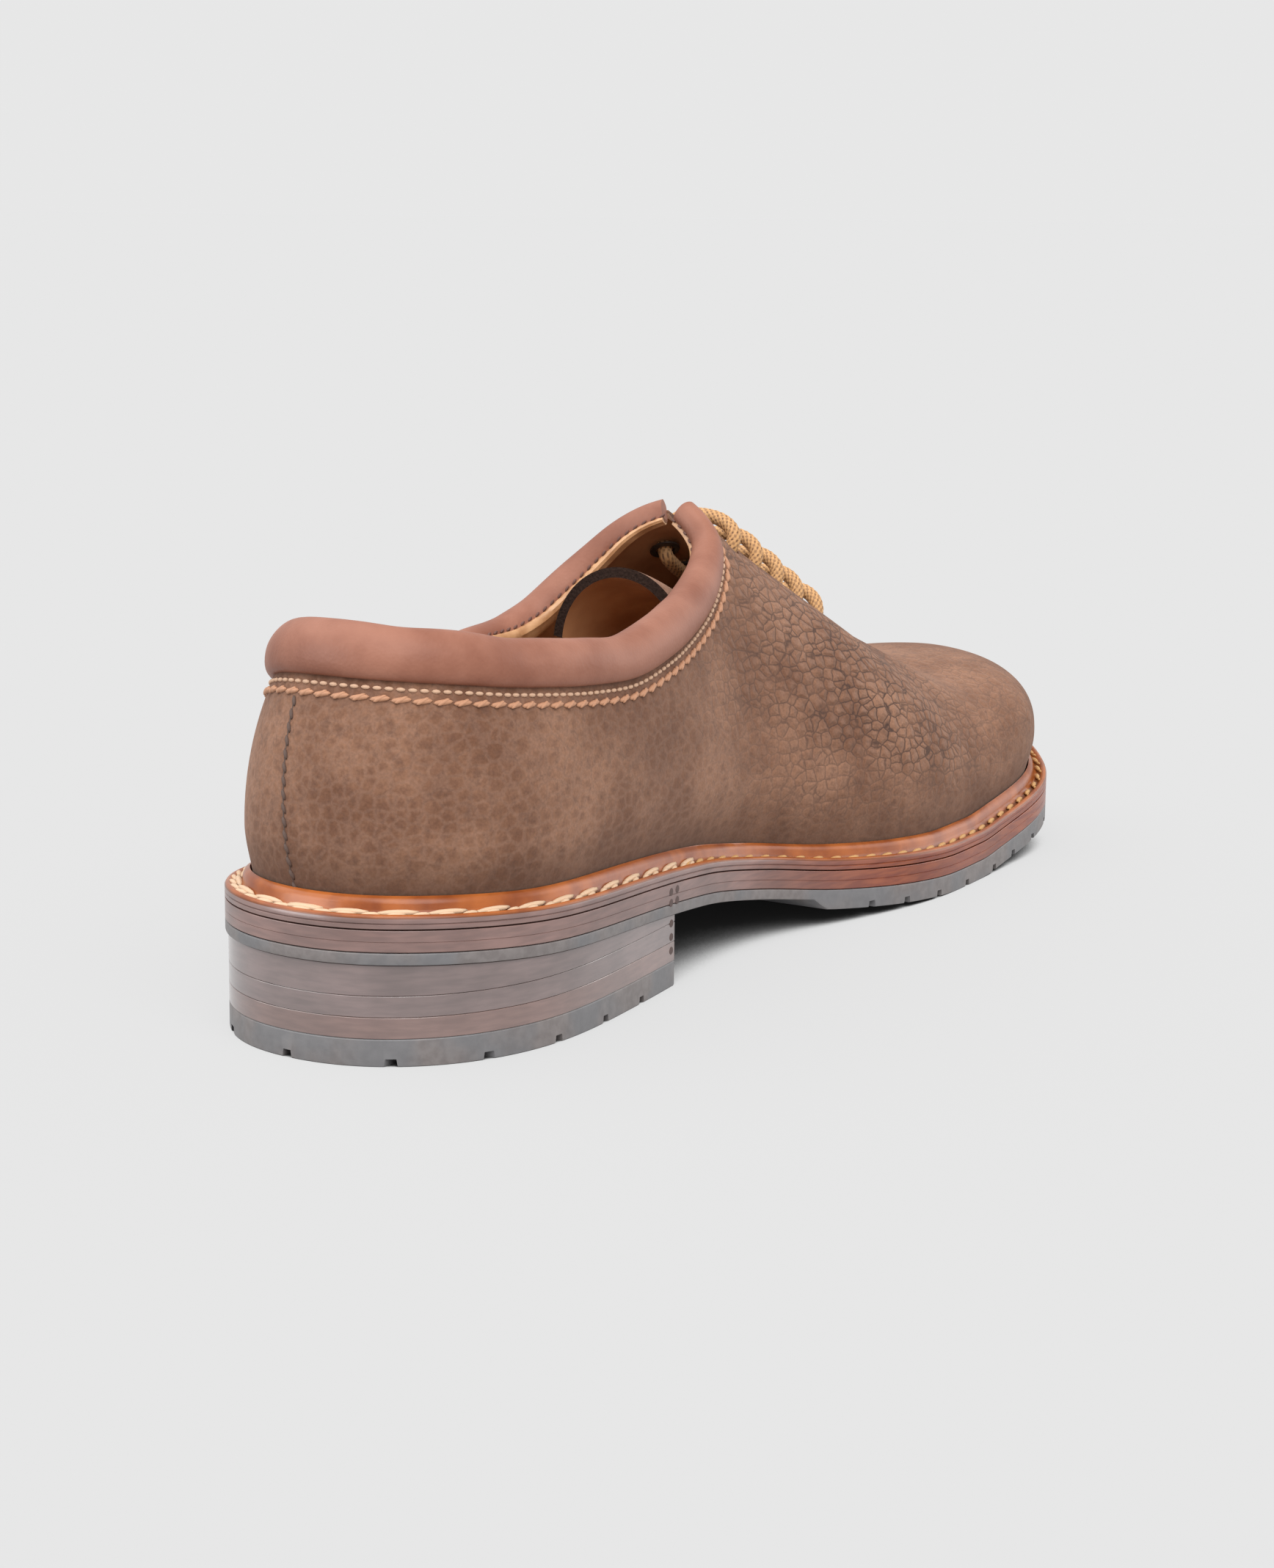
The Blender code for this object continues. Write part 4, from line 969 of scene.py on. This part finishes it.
# Tongue: a separate flap of the same nubuck, tan lined, under the throat from above the collar to
# past the slit's lower end. Its edge is raw and frayed dark; it is sewn in at its lower end.
TONGUE_WALL = 0.0024
TONGUE_WIDTH = 0.050
TONGUE_DEPTH = 0.0093
TONGUE_ARCH_WIDTH = 0.0360
TONGUE_ARCH_DROP = 0.0190
TONGUE_SHIFT = 0.0010
TONGUE_TOP = 0.1225
TONGUE_END = 0.2260
# Share of its length from the top, depth below the last's crown as a share of TONGUE_DEPTH, width as
# a share of TONGUE_WIDTH, how far its section is the free arch of its top end
TONGUE_LINE = (
    (0.00, 2.42, 1.00, 1.00),
    (0.15, 2.31, 1.00, 0.95),
    (0.28, 1.94, 1.00, 0.75),
    (0.43, 1.50, 1.00, 0.45),
    (0.57, 1.18, 1.00, 0.15),
    (0.71, 1.02, 1.00, 0.00),
    (0.85, 0.90, 0.98, 0.00),
    (1.00, 0.473, 0.80, 0.00),
)


def tongue_row(share, steps):
    """One row of the tongue's upper face, from the inner side to the outer."""
    station = TONGUE_TOP + (TONGUE_END - TONGUE_TOP) * share
    depth = TONGUE_DEPTH * smooth(share, TONGUE_LINE, 1)
    half = TONGUE_WIDTH / 2 * smooth(share, TONGUE_LINE, 2)
    row = []
    for side in (-1, 1):
        column = Column(station, side * QUARTER)
        wall = np.array([column.high(t) for t in np.linspace(QUARTER, 0.2, 160)])
        slope = unit(np.gradient(wall, axis=0))
        normal = np.stack([-slope[:, 1], slope[:, 0]], axis=1)
        normal[normal[:, 1] < 0] *= -1
        inner = wall - normal * depth
        inner = inner[inner[:, 0] >= 0]
        inner = np.vstack([[0.0, column.crown - depth], inner])
        run = run_along(inner)
        shares = np.linspace(1, 0, steps // 2 + 1) if side < 0 else np.linspace(0, 1, steps // 2 + 1)[1:]
        for s in shares:
            near_wall = column.place(np.interp(half * s, run, inner[:, 0]), np.interp(half * s, run, inner[:, 1]))
            turn = math.radians(84) * s * side
            arch = column.place(0.0, column.crown - depth - TONGUE_ARCH_DROP * (1 - math.cos(turn)))
            arch[1] += TONGUE_SHIFT + TONGUE_ARCH_WIDTH / 2 * math.sin(turn)
            free = smooth(share, TONGUE_LINE, 3)
            row.append(near_wall * (1 - free) + arch * free)
    return row


TONGUE_STEPS, TONGUE_ROWS = 48, 90
tongue_points, faces = [], []
for r in range(TONGUE_ROWS + 1):
    tongue_points += tongue_row((r / TONGUE_ROWS) ** 1.3, TONGUE_STEPS)
across = TONGUE_STEPS + 1
for r in range(TONGUE_ROWS):
    for k in range(TONGUE_STEPS):
        faces.append((r * across + k, r * across + k + 1, (r + 1) * across + k + 1, (r + 1) * across + k))
tongue = new_piece("tongue_flap", tongue_points, faces)
if sum(face.normal.z * face.area for face in tongue.data.polygons) < 0:
    tongue.data.flip_normals()
raw_edge = Finish("raw_edge", (0.085, 0.066, 0.058), 0.95, {"Specular IOR Level": 0.05})
fuzz = raw_edge.noise(1500.0, 3.0)
raw_edge.colour(raw_edge.blend(fuzz, (0.008, 0.005, 0.004), (0.045, 0.026, 0.020)))
raw_edge.raise_by(fuzz, 0.0005, 0.9)
for finish in (nubuck, lining, raw_edge):
    tongue.data.materials.append(finish.paint)
wall = tongue.modifiers.new("wall", "SOLIDIFY")
wall.thickness = TONGUE_WALL
wall.offset = -1.0
wall.use_even_offset = False
wall.material_offset = 1
wall.material_offset_rim = 2
finish_modifiers(tongue)
tongue.data.set_sharp_from_angle(angle=SHARP)
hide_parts("tongue")


# Eyelets: small dark washers clinched on the lining round the lace holes, five to a side.
EYELET_FLANGE = 0.0036
EYELET_THICK = 0.0006
EYELET_SEAT = 0.0008
washer_points, washer_faces = [], []
for side in (-1, 1):
    for row in range(EYELET_ROWS):
        centre, out = eyelet_place(row, side)
        top = centre - out * (WALL + GAP + EYELET_SEAT)
        first = unit(np.cross(out, [1.0, 0.0, 0.0]))
        second = np.cross(out, first)
        base = len(washer_points)
        rings = (
            (0.0023, 0.0), (0.0034, 0.0), (EYELET_FLANGE, 0.0001),
            (EYELET_FLANGE, 0.0005), (0.0034, EYELET_THICK), (0.0023, EYELET_THICK),
        )
        for radius, depth in rings:
            for k in range(24):
                a = 2 * math.pi * k / 24
                washer_points.append(top - out * depth + radius * (math.cos(a) * first + math.sin(a) * second))
        around = ring_faces(6, 24) + [(120 + k, 120 + (k + 1) % 24, (k + 1) % 24, k) for k in range(24)]
        washer_faces += [tuple(base + v for v in face) for face in around]
eyelets = new_piece("eyelet_washers", washer_points, washer_faces)
dark_metal = Finish("dark_metal", (0.060, 0.045, 0.035), 0.45, {"Metallic": 0.6})
eyelets.data.materials.append(dark_metal.paint)
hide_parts(*["eyelet_%s_%d" % (label, row + 1) for label in ("inner", "outer") for row in range(EYELET_ROWS)])


# Lace: one round waxed cord, braided, threaded in straight bars over the throat. It comes up through
# the holes, arches over to the other side and runs on the inside to the next pair.
LACE_RADIUS = 0.0017
LACE_ARCH = 0.0042
LACE_SIDES = 24
BRAID_PITCH = 0.0030
line = []
for row in range(EYELET_ROWS):
    sides = (-1, 1) if row % 2 == 0 else (1, -1)
    (entry, entry_out), (leave, leave_out) = eyelet_place(row, sides[0]), eyelet_place(row, sides[1])
    through = WALL + GAP + EYELET_SEAT + EYELET_THICK
    below = through + LACE_RADIUS + 2 * GAP
    line += [entry - entry_out * below, entry - entry_out * through, entry - entry_out * WALL * 0.3]
    for share in (0.10, 0.30, 0.50, 0.70, 0.90):
        lift = (LACE_ARCH + LACE_RADIUS) * (1 - (2 * share - 1) ** 4)
        ridge = LACE_ARCH * 0.24 * (1 - abs(2 * share - 1))
        out = entry_out * (1 - share) + leave_out * share
        out /= np.linalg.norm(out)
        line.append(entry * (1 - share) + leave * share + out * (lift + ridge))
    line += [leave - leave_out * WALL * 0.3, leave - leave_out * through, leave - leave_out * below]
line = np.array(line)
for _ in range(4):
    fresh = [line[0]]
    for a, b in zip(line, line[1:]):
        fresh += [a * 0.75 + b * 0.25, a * 0.25 + b * 0.75]
    fresh.append(line[-1])
    line = np.array(fresh)
(line,) = even_line(line, 0.00030)
lace_points, strands = [], []
for run, (p, side, other) in zip(run_along(line), carried(line, [1.0, 0.0, 0.0])):
    turn = 2 * math.pi * run / BRAID_PITCH
    for a in np.arange(LACE_SIDES) * 2 * math.pi / LACE_SIDES:
        strands.append(abs(math.sin(4 * a + turn)) + abs(math.sin(4 * a - turn)))
        radius = LACE_RADIUS - 0.0001 + 0.00016 * (strands[-1] - 1.0)
        lace_points.append(p + radius * (math.cos(a) * side - math.sin(a) * other))
lace = new_piece("lace_cord", lace_points, rod_faces(len(line), LACE_SIDES))
braid_shade = lace.data.attributes.new("braid_shade", "FLOAT", "POINT")
braid_shade.data.foreach_set("value", np.array(strands, dtype=np.float32) / 2)
cord = Finish("lace_cord", (0.46, 0.27, 0.11), 0.7)
fuzz = cord.noise(1800.0, 3.0)
# Painted shade: the cord's colour goes dark in the grooves between the braid's strands, following the braid that
# shapes its surface.
tone = cord.blend(cord.ramp(cord.mark("braid_shade"), 0.30, 0.78), (0.13, 0.055, 0.022), (0.60, 0.325, 0.130))
cord.colour(cord.blend(cord.ramp(fuzz, 0.3, 0.7, 0.0, 0.35), tone, (0.30, 0.165, 0.075)))
cord.raise_by(fuzz, 0.0001, 0.5)
lace.data.materials.append(cord.paint)
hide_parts("lace")


# Welt: a strip of orange-brown leather round the whole shoe, with a rounded lip at its outer edge, a
# groove for the stitches and a raised rib that hugs the upper. It sits on the midsole, and its
# upright outer face is trimmed and polished with the midsole.
WELT = 0.0030
WELT_RIB = 0.0028
GROOVE_RISE = 0.00235
# Section of the welt: distance in from the edge, height above the midsole
WELT_SECTION = (
    (0.0001, GAP), (0.0000, GAP + 0.0001), (0.0000, 0.0011), (0.00025, 0.0013), (0.0000, 0.0015),
    (0.0000, 0.0024), (0.0003, 0.0029), (0.0008, 0.0031), (0.0013, 0.0029), (0.0016, 0.0025),
    (0.0019, 0.0023), (0.0027, 0.00235), (0.0032, 0.0026), (0.0036, 0.0034), (0.0037, 0.0044),
    (0.0041, 0.0052), (0.0047, 0.0056),
)
FACE_RINGS = 6


def edge_finish(name, back_colours, fore_colours, polish):
    """Polished edge leather that changes colour from the waist to the forefoot."""
    edge = Finish(name, back_colours[0], 0.33, {"Coat Weight": polish, "Coat Roughness": 0.15, "Coat IOR": 1.7})
    streaks = {"Vector": edge.stretched((0.35, 0.35, 2.5)), "Scale": 420.0, "Detail": 4.0}
    streak = edge.node("ShaderNodeTexNoise", streaks).outputs["Fac"]
    amount = edge.ramp(streak, 0.3, 0.7)
    along = edge.node("ShaderNodeSeparateXYZ", {0: edge.spot}).outputs["X"]
    back_tone, fore_tone = (edge.blend(amount, *colours) for colours in (back_colours, fore_colours))
    tone = edge.blend(edge.ramp(along, -0.045, 0.035), back_tone, fore_tone)
    edge.colour(edge.shade(tone, edge.ramp(edge.noise(55.0, 3.0), 0.35, 0.65, 0.82, 1.1)))
    edge.raise_by(streak, 0.00005, 0.3)
    return edge


def edge_ring(inset, height):
    """Ring of points in from the sole's edge, at a height that follows the station."""
    return [column.place(column.edge - inset, height(column.edge_x)) for column in COLUMNS]


welt_points = []
for inset, rise in WELT_SECTION:
    welt_points += edge_ring(inset, lambda x: seat_line(x) + rise)
for rise in (WELT + WELT_RIB, GAP):
    for column in COLUMNS:
        height = seat_line(column.edge_x) + rise
        welt_points.append(column.place(column.radius_near(height) + GAP * 1.4, height))
rings = len(WELT_SECTION) + 2
faces = ring_faces(rings, N)
faces += [((rings - 1) * N + i, (rings - 1) * N + (i + 1) % N, (i + 1) % N, i) for i in range(N)]
welt = new_piece("welt_strip", welt_points, faces)
groove_shade_mark = welt.data.attributes.new("groove", "FLOAT", "POINT")
for vertex in welt.data.vertices:
    rise = vertex.co.z - seat_line(vertex.co.x + ORIGIN[0])
    if rise < GROOVE_RISE + 0.00025:
        groove_shade_mark.data[vertex.index].value = 1 - min(1.0, abs(rise - GROOVE_RISE) / 0.0006)
welt_leather = Finish("welt_leather", (0.36, 0.115, 0.035), 0.30, {
    "Coat Weight": 0.1, "Coat Roughness": 0.2, "Specular IOR Level": 0.3,
})
tone, cloud = welt_leather.mottle(120.0, 6.0, (0.215, 0.048, 0.009), (0.385, 0.108, 0.022))
# Painted shade: the welt is darkened in the groove where the stitches lie.
painted_groove_shade = welt_leather.times(welt_leather.mark("groove"), 0.8)
welt_leather.colour(welt_leather.blend(painted_groove_shade, tone, (0.07, 0.026, 0.012)))
welt_leather.raise_by(cloud, 0.0003, 0.3)
midsole_edge = edge_finish(
    "midsole_edge", ((0.185, 0.115, 0.103), (0.235, 0.142, 0.125)),
    ((0.160, 0.026, 0.008), (0.250, 0.056, 0.015)), 0.2,
)
welt.data.materials.append(welt_leather.paint)
welt.data.materials.append(midsole_edge.paint)
for face in welt.data.polygons:
    face.material_index = int(max(face.vertices) < FACE_RINGS * N)
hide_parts("welt")


# Welt stitches: twisted thread in the welt's groove. Over the heel and the waist it is cream and
# coarse, two rows of crossing loops; over the forefoot it is golden and close.
golden_thread = Finish("golden_thread", (0.52, 0.29, 0.110), 0.6)
pale_thread = Finish("pale_thread", (0.62, 0.43, 0.28), 0.6)
THREAD_CHANGE = 0.100
front = [i for i in range(N) if COLUMNS[i].foot_x > THREAD_CHANGE]
fore_parts = [(front[0], front[-1])]
heel_parts = [(0, front[0]), (front[-1], N)]
# Row, its parts round the shoe, distance in from the edge, height above the midsole, pitch, length,
# width, lean, thread
WELT_ROWS = (
    ("fore", fore_parts, 0.0024, 0.0026, 0.0060, 0.0050, 0.0013, 0.14, golden_thread),
    ("fore_low", fore_parts, 0.0018, 0.0025, 0.0060, 0.0026, 0.0008, 0.40, golden_thread),
    ("heel", heel_parts, 0.0029, 0.0029, 0.0100, 0.0088, 0.0014, 0.06, pale_thread),
    ("heel_low", heel_parts, 0.0017, 0.0027, 0.0050, 0.0043, 0.0013, 0.28, pale_thread),
)
for label, parts, inset, rise, pitch, long, wide, lean, thread in WELT_ROWS:
    line = edge_ring(inset, lambda x: seat_line(x) + rise)
    line.append(line[0])
    for number, (start, stop) in enumerate(parts):
        part = np.array(line[start:stop + 1])
        outs = np.broadcast_to(np.array([0.0, 0.0, 1.0]), part.shape).copy()
        settings = {"Length": long, "Width": wide, "Lean": lean, "Rise": 0.0}
        row = stitch_row("welt_stitch_%s_%d" % (label, number), part, outs, pitch, settings, thread)


# Midsole: two layers of leather board, their edges polished. They are mauve-brown over the heel and
# the waist and turn orange-brown over the forefoot, with a fine dark line between the layers.
EDGE_ROUND = 0.0001


def edge_plate(name, profile):
    """A solid sole layer from its edge's section: inset and height function, from top to bottom."""
    points = []
    for inset, height in profile:
        points += edge_ring(inset, height)
    last = (len(profile) - 1) * N
    faces = ring_faces(len(profile), N) + cap_strip(0, N) + cap_strip(last, N)
    return new_piece(name, points, faces)


midsole = edge_plate("midsole_board", (
    (EDGE_ROUND, seat_line),
    (0.0, lambda x: seat_line(x) - EDGE_ROUND),
    (0.0, lambda x: sole_line(x) + MIDSOLE * 0.50),
    (0.00012, lambda x: sole_line(x) + MIDSOLE * 0.48),
    (0.0, lambda x: sole_line(x) + MIDSOLE * 0.46),
    (0.0, lambda x: sole_line(x) + 0.0002),
    (0.0003, sole_line),
))
midsole.data.materials.append(midsole_edge.paint)
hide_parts("midsole")


# Outsole: grey rubber, a thin runner over the heel and the waist and a thicker pad under the
# forefoot, with grooves across its tread. It is bonded under the midsole.
RUNNER = 0.0025
TREAD_START = 0.1500
TREAD_RAMP = 0.0030
GROOVE_WIDTH = 0.0022
GROOVE_DEPTH = 0.0016
# Places of the grooves as shares of SOLE_LENGTH
GROOVES = (0.560, 0.602, 0.648, 0.700, 0.757, 0.797, 0.840, 0.880, 0.922, 0.962)


def under(x):
    share = min(1.0, max(0.0, (x - TREAD_START) / TREAD_RAMP))
    return sole_line(x) - RUNNER - (TREAD - RUNNER) * share


def notch(centre, size, points, faces):
    """A cutter block whose sides lean outwards towards the ground."""
    base = len(points)
    thin = 0 if size[0] < size[1] else 1
    for high, grow in ((0.5, 0.85), (-0.5, 1.25)):
        for a, b in ((-0.5, -0.5), (0.5, -0.5), (0.5, 0.5), (-0.5, 0.5)):
            offset = [size[0] * a, size[1] * b, size[2] * high]
            offset[thin] *= grow
            points.append([c + o for c, o in zip(centre, offset)])
    quads = ((0, 1, 2, 3), (7, 6, 5, 4), (0, 4, 5, 1), (1, 5, 6, 2), (2, 6, 7, 3), (3, 7, 4, 0))
    faces += [tuple(base + k for k in quad) for quad in quads]


outsole = edge_plate("outsole_rubber", (
    (0.0002, lambda x: sole_line(x) - 0.0001),
    (0.0, lambda x: sole_line(x) - 0.0003),
    (0.0, lambda x: under(x) + 0.0004),
    (0.0001, lambda x: under(x) + 0.0001),
    (0.0004, under),
))
across = (GROOVE_WIDTH, 2 * BALL_WIDTH, 2 * GROOVE_DEPTH)
notch_points, notch_faces = [], []
for share in GROOVES:
    x = share * SOLE_LENGTH
    notch((x - ORIGIN[0], 0.0, under(x)), across, notch_points, notch_faces)
cut_away(outsole, notch_points, notch_faces)
rubber = Finish("sole_rubber", (0.145, 0.138, 0.140), 0.45)
tone, grit = rubber.mottle(500.0, 5.0, (0.155, 0.135, 0.130), (0.200, 0.178, 0.172))
dust = rubber.ramp(rubber.noise(60.0, 3.0), 0.42, 0.62, 0.0, 0.55)
rubber.colour(rubber.blend(dust, tone, (0.140, 0.150, 0.162)))
rubber.raise_by(grit, 0.0002, 0.4)
outsole.data.materials.append(rubber.paint)
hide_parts("outsole")


# Heel: three lifts of stacked leather, polished mauve-brown with fine dark lines between, above a
# rubber top piece with notches. The heel's front is hollow and its sides taper in a little.
HEEL_LENGTH = 0.088
BREAST_HOLLOW = 0.006
TOP_LIFT = 0.0053
HEEL_TAPER = 0.0006
LIFT = 0.0043
LIFT_ROUND = 0.00012
# Places of the grooves as shares of SOLE_LENGTH, at the back of the heel as shares of HEEL_WIDTH
HEEL_GROOVES = (0.069, 0.127, 0.185, 0.240)
BACK_GROOVES = (-0.24, 0.04, 0.30)
BACK_GROOVE_LENGTH = 0.0040


def heel_outline(inset):
    """Outline of the heel with its hollow breast."""
    edge = EDGE - EDGE_OUT * inset
    keep = [p for p in edge[::4] if p[0] < HEEL_LENGTH - 0.0006]
    inner = sorted((p for p in keep if p[1] < 0), key=lambda p: p[0])
    outer = sorted((p for p in keep if p[1] >= 0), key=lambda p: -p[0])
    corners = []
    for side in (-1, 1):
        near = edge[edge[:, 1] * side > 0]
        corners.append(near[np.argmin(abs(near[:, 0] - HEEL_LENGTH))])
    breast = []
    for k in range(25):
        t = k / 24
        breast.append(corners[0] * (1 - t) + corners[1] * t - np.array([BREAST_HOLLOW * 4 * t * (1 - t), 0]))
    return inner + breast + outer


def heel_slice(name, levels):
    """A slice of the heel from its section: inset and height function, from bottom to top."""
    points = []
    for inset, level in levels:
        ring = heel_outline(HEEL_TAPER + inset)
        points += [(p[0] - ORIGIN[0], p[1] - ORIGIN[1], level(p[0])) for p in ring]
    piece = new_piece(name, points, rod_faces(len(levels), len(ring)))
    work = bmesh.new()
    work.from_mesh(piece.data)
    bmesh.ops.triangulate(work, faces=[f for f in work.faces if len(f.verts) > 4])
    work.to_mesh(piece.data)
    work.free()
    return piece


heel_edge = edge_finish(
    "heel_edge", ((0.150, 0.108, 0.103), (0.185, 0.132, 0.125)), ((0.19, 0.145, 0.138), (0.23, 0.17, 0.16)), 1.0,
)
low_colours = ((0.165, 0.100, 0.088), (0.205, 0.125, 0.108))
heel_edge_low = edge_finish("heel_edge_low", low_colours, low_colours, 1.0)
lift_base = TOP_LIFT
for name, edge in (("heel_lift_lower", heel_edge_low), ("heel_lift_middle", heel_edge)):
    low, high = lift_base + GAP, lift_base + LIFT + GAP * 0.8
    piece = heel_slice(name + "_stack", (
        (LIFT_ROUND, lambda x: low), (0.0, lambda x: low + LIFT_ROUND),
        (0.0, lambda x: high - LIFT_ROUND), (LIFT_ROUND, lambda x: high),
    ))
    piece.data.materials.append(edge.paint)
    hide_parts(name)
    lift_base += LIFT
low = lift_base + GAP
piece = heel_slice("heel_lift_upper_stack", (
    (LIFT_ROUND, lambda x: low), (0.0, lambda x: low + LIFT_ROUND),
    (0.0, lambda x: sole_line(x) - RUNNER - 0.0002), (LIFT_ROUND, lambda x: sole_line(x) - RUNNER - 0.0001),
))
piece.data.materials.append(heel_edge.paint)
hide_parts("heel_lift_upper")

top_piece = heel_slice("heel_top_rubber", (
    (0.0004, lambda x: 0.0), (0.0001, lambda x: 0.0001), (0.0, lambda x: 0.0004),
    (0.0, lambda x: TOP_LIFT), (0.0002, lambda x: TOP_LIFT + GAP * 0.8),
))
notch_points, notch_faces = [], []
for share in HEEL_GROOVES:
    notch((share * SOLE_LENGTH - ORIGIN[0], 0.0, 0.0), across, notch_points, notch_faces)
heel_back = (EDGE - EDGE_OUT * HEEL_TAPER)[EDGE[:, 0] < HEEL_CENTRE]
inwards = (2 * BACK_GROOVE_LENGTH, GROOVE_WIDTH, 2 * GROOVE_DEPTH)
for share in BACK_GROOVES:
    y = share * HEEL_WIDTH
    x = heel_back[np.argmin(abs(heel_back[:, 1] - y)), 0] - ORIGIN[0]
    notch((x, y - ORIGIN[1], 0.0), inwards, notch_points, notch_faces)
cut_away(top_piece, notch_points, notch_faces)
top_piece.data.materials.append(rubber.paint)
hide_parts("heel_top_piece")


# Breast marks: small dark scorched scallops that the edge iron left in the leather at both corners of
# the heel's breast, in pairs on the midsole and single down the lifts.
MARK_HALF = (0.0011, 0.0010)
scorch = Finish("scorch", (0.075, 0.042, 0.036), 0.6)
mark_points, mark_faces = [], []
for side in (-1, 1):
    near = np.flatnonzero(EDGE[:, 1] * side > 0)
    at = near[np.argmin(abs(EDGE[near, 0] - HEEL_LENGTH + 0.0016))]
    out = np.array([*EDGE_OUT[at], 0.0])
    run = np.array([-out[1], out[0], 0.0])
    top = seat_line(HEEL_LENGTH)
    places = [(shift, 0.0, top - fall) for fall in (0.0014, 0.0038) for shift in (-0.0016, 0.0016)]
    fall = np.arange(sole_line(HEEL_LENGTH) - RUNNER - 0.0018, TOP_LIFT + 0.0015, -0.0030)
    places += [(0.0, HEEL_TAPER, height) for height in fall]
    for shift, inset, height in places:
        centre = np.array([*(EDGE[at] - ORIGIN), height]) + run * shift - out * inset
        base = len(mark_points)
        for grow, lift in ((1.0, -0.0004), (0.85, 0.00005)):
            for k in range(10):
                a = math.pi * k / 5
                round_the = run * MARK_HALF[0] * math.cos(a) + np.array([0, 0, MARK_HALF[1] * math.sin(a)])
                mark_points.append(centre + round_the * grow + out * lift)
        mark_points.append(centre + out * 0.0001)
        for k in range(10):
            j = (k + 1) % 10
            mark_faces.append((base + k, base + j, base + 10 + j, base + 10 + k))
            mark_faces.append((base + 10 + k, base + 10 + j, base + 20))
        mark_faces.append(tuple(base + k for k in range(10)))
marks = new_piece("breast_marks", mark_points, mark_faces)
marks.data.materials.append(scorch.paint)


# Studio: a pale floor that glows as well as taking light, its glow dimmed near the shoe into a painted contact
# shadow, a soft large light above, a softer one on the camera's side and a pale grey surround, as in the
# photograph.
floor_mesh = bpy.data.meshes.new("floor")
floor_mesh.from_pydata([(-120, -70, 0), (120, -70, 0), (0, 140, 0)], [], [(0, 1, 2)])
floor = bpy.data.objects.new("floor", floor_mesh)
bpy.context.collection.objects.link(floor)
paper = Finish("floor_paper", (0.43, 0.43, 0.43), 1.0, {"Specular IOR Level": 0.0})
# Painted light: the floor glows, and ambient occlusion dims the glow close to the shoe into a painted contact
# shadow.
near = paper.node("ShaderNodeAmbientOcclusion", {"Distance": 0.05}).outputs["AO"]
glow_with_painted_shadow = paper.node("ShaderNodeEmission", {"Strength": paper.ramp(near, 0.12, 0.52, 0.004, 0.80)}).outputs[0]
mixed = paper.node("ShaderNodeMixShader", {0: 0.85, 1: paper.shader.outputs[0], 2: glow_with_painted_shadow}).outputs[0]
paper.fill(paper.tree.nodes["Material Output"], {"Surface": mixed})
floor_mesh.materials.append(paper.paint)

for name, place, softness, power in (
    ("key", (-0.60, -0.70, 1.10), 50, 2.3),
    ("top", (-0.25, 0.45, 1.00), 70, 1.7),
):
    lamp = bpy.data.lights.new(name, "SUN")
    lamp.angle = math.radians(softness)
    lamp.energy = power
    holder = bpy.data.objects.new(name, lamp)
    holder.rotation_euler = Vector(place).to_track_quat("Z", "Y").to_euler()
    bpy.context.collection.objects.link(holder)
for name, place, power in (("fore_box", (1.20, -0.80, 0.45), 5.0), ("back_box", (-1.20, 0.75, 0.40), 14.0)):
    lamp = bpy.data.lights.new(name, "AREA")
    lamp.size = 0.9
    lamp.energy = power
    holder = bpy.data.objects.new(name, lamp)
    holder.location = place
    holder.rotation_euler = (Vector((0.0, 0.0, 0.03)) - holder.location).to_track_quat("-Z", "Y").to_euler()
    holder.visible_diffuse = False
    bpy.context.collection.objects.link(holder)
world = bpy.data.worlds.new("surround")
world.use_nodes = True
world.node_tree.nodes["Background"].inputs["Color"].default_value = (0.80, 0.80, 0.80, 1.0)
world.node_tree.nodes["Background"].inputs["Strength"].default_value = 1.0
bpy.context.scene.world = world
bpy.context.scene.view_settings.view_transform = "Standard"

# The camera stands behind the shoe's inner side, a little above it, as in the photograph. Its place
# is given by the turn about the shoe, the height of the look and the distance to the aim point.
AIM = Vector((0.0, 0.0, 0.045))
LOOK_TURN = math.radians(-59.8)
LOOK_DOWN = math.radians(9.9)
LOOK_ROLL = math.radians(0.6)
DISTANCE = 0.6955
IMAGE_HEIGHT = 2137
FOCAL_PIXELS = 3993.0
CENTRE_SHIFT = (44.7, -84.0)
SENSOR = 36.0

back = Vector((
    math.sin(LOOK_TURN) * math.cos(LOOK_DOWN),
    -math.cos(LOOK_TURN) * math.cos(LOOK_DOWN),
    math.sin(LOOK_DOWN),
))
right = Vector((math.cos(LOOK_TURN), math.sin(LOOK_TURN), 0.0))
up = back.cross(right)
right, up = (
    right * math.cos(LOOK_ROLL) + up * math.sin(LOOK_ROLL),
    up * math.cos(LOOK_ROLL) - right * math.sin(LOOK_ROLL),
)
lens = bpy.data.cameras.new("camera")
lens.sensor_fit = "VERTICAL"
lens.sensor_height = SENSOR
lens.lens = FOCAL_PIXELS / IMAGE_HEIGHT * SENSOR
lens.shift_x = -CENTRE_SHIFT[0] / IMAGE_HEIGHT
lens.shift_y = CENTRE_SHIFT[1] / IMAGE_HEIGHT
lens.clip_start = 0.01
camera = bpy.data.objects.new("camera", lens)
place = Matrix((right, up, back)).transposed().to_4x4()
place.translation = AIM + back * DISTANCE
camera.matrix_world = place
bpy.context.collection.objects.link(camera)
bpy.context.scene.camera = camera
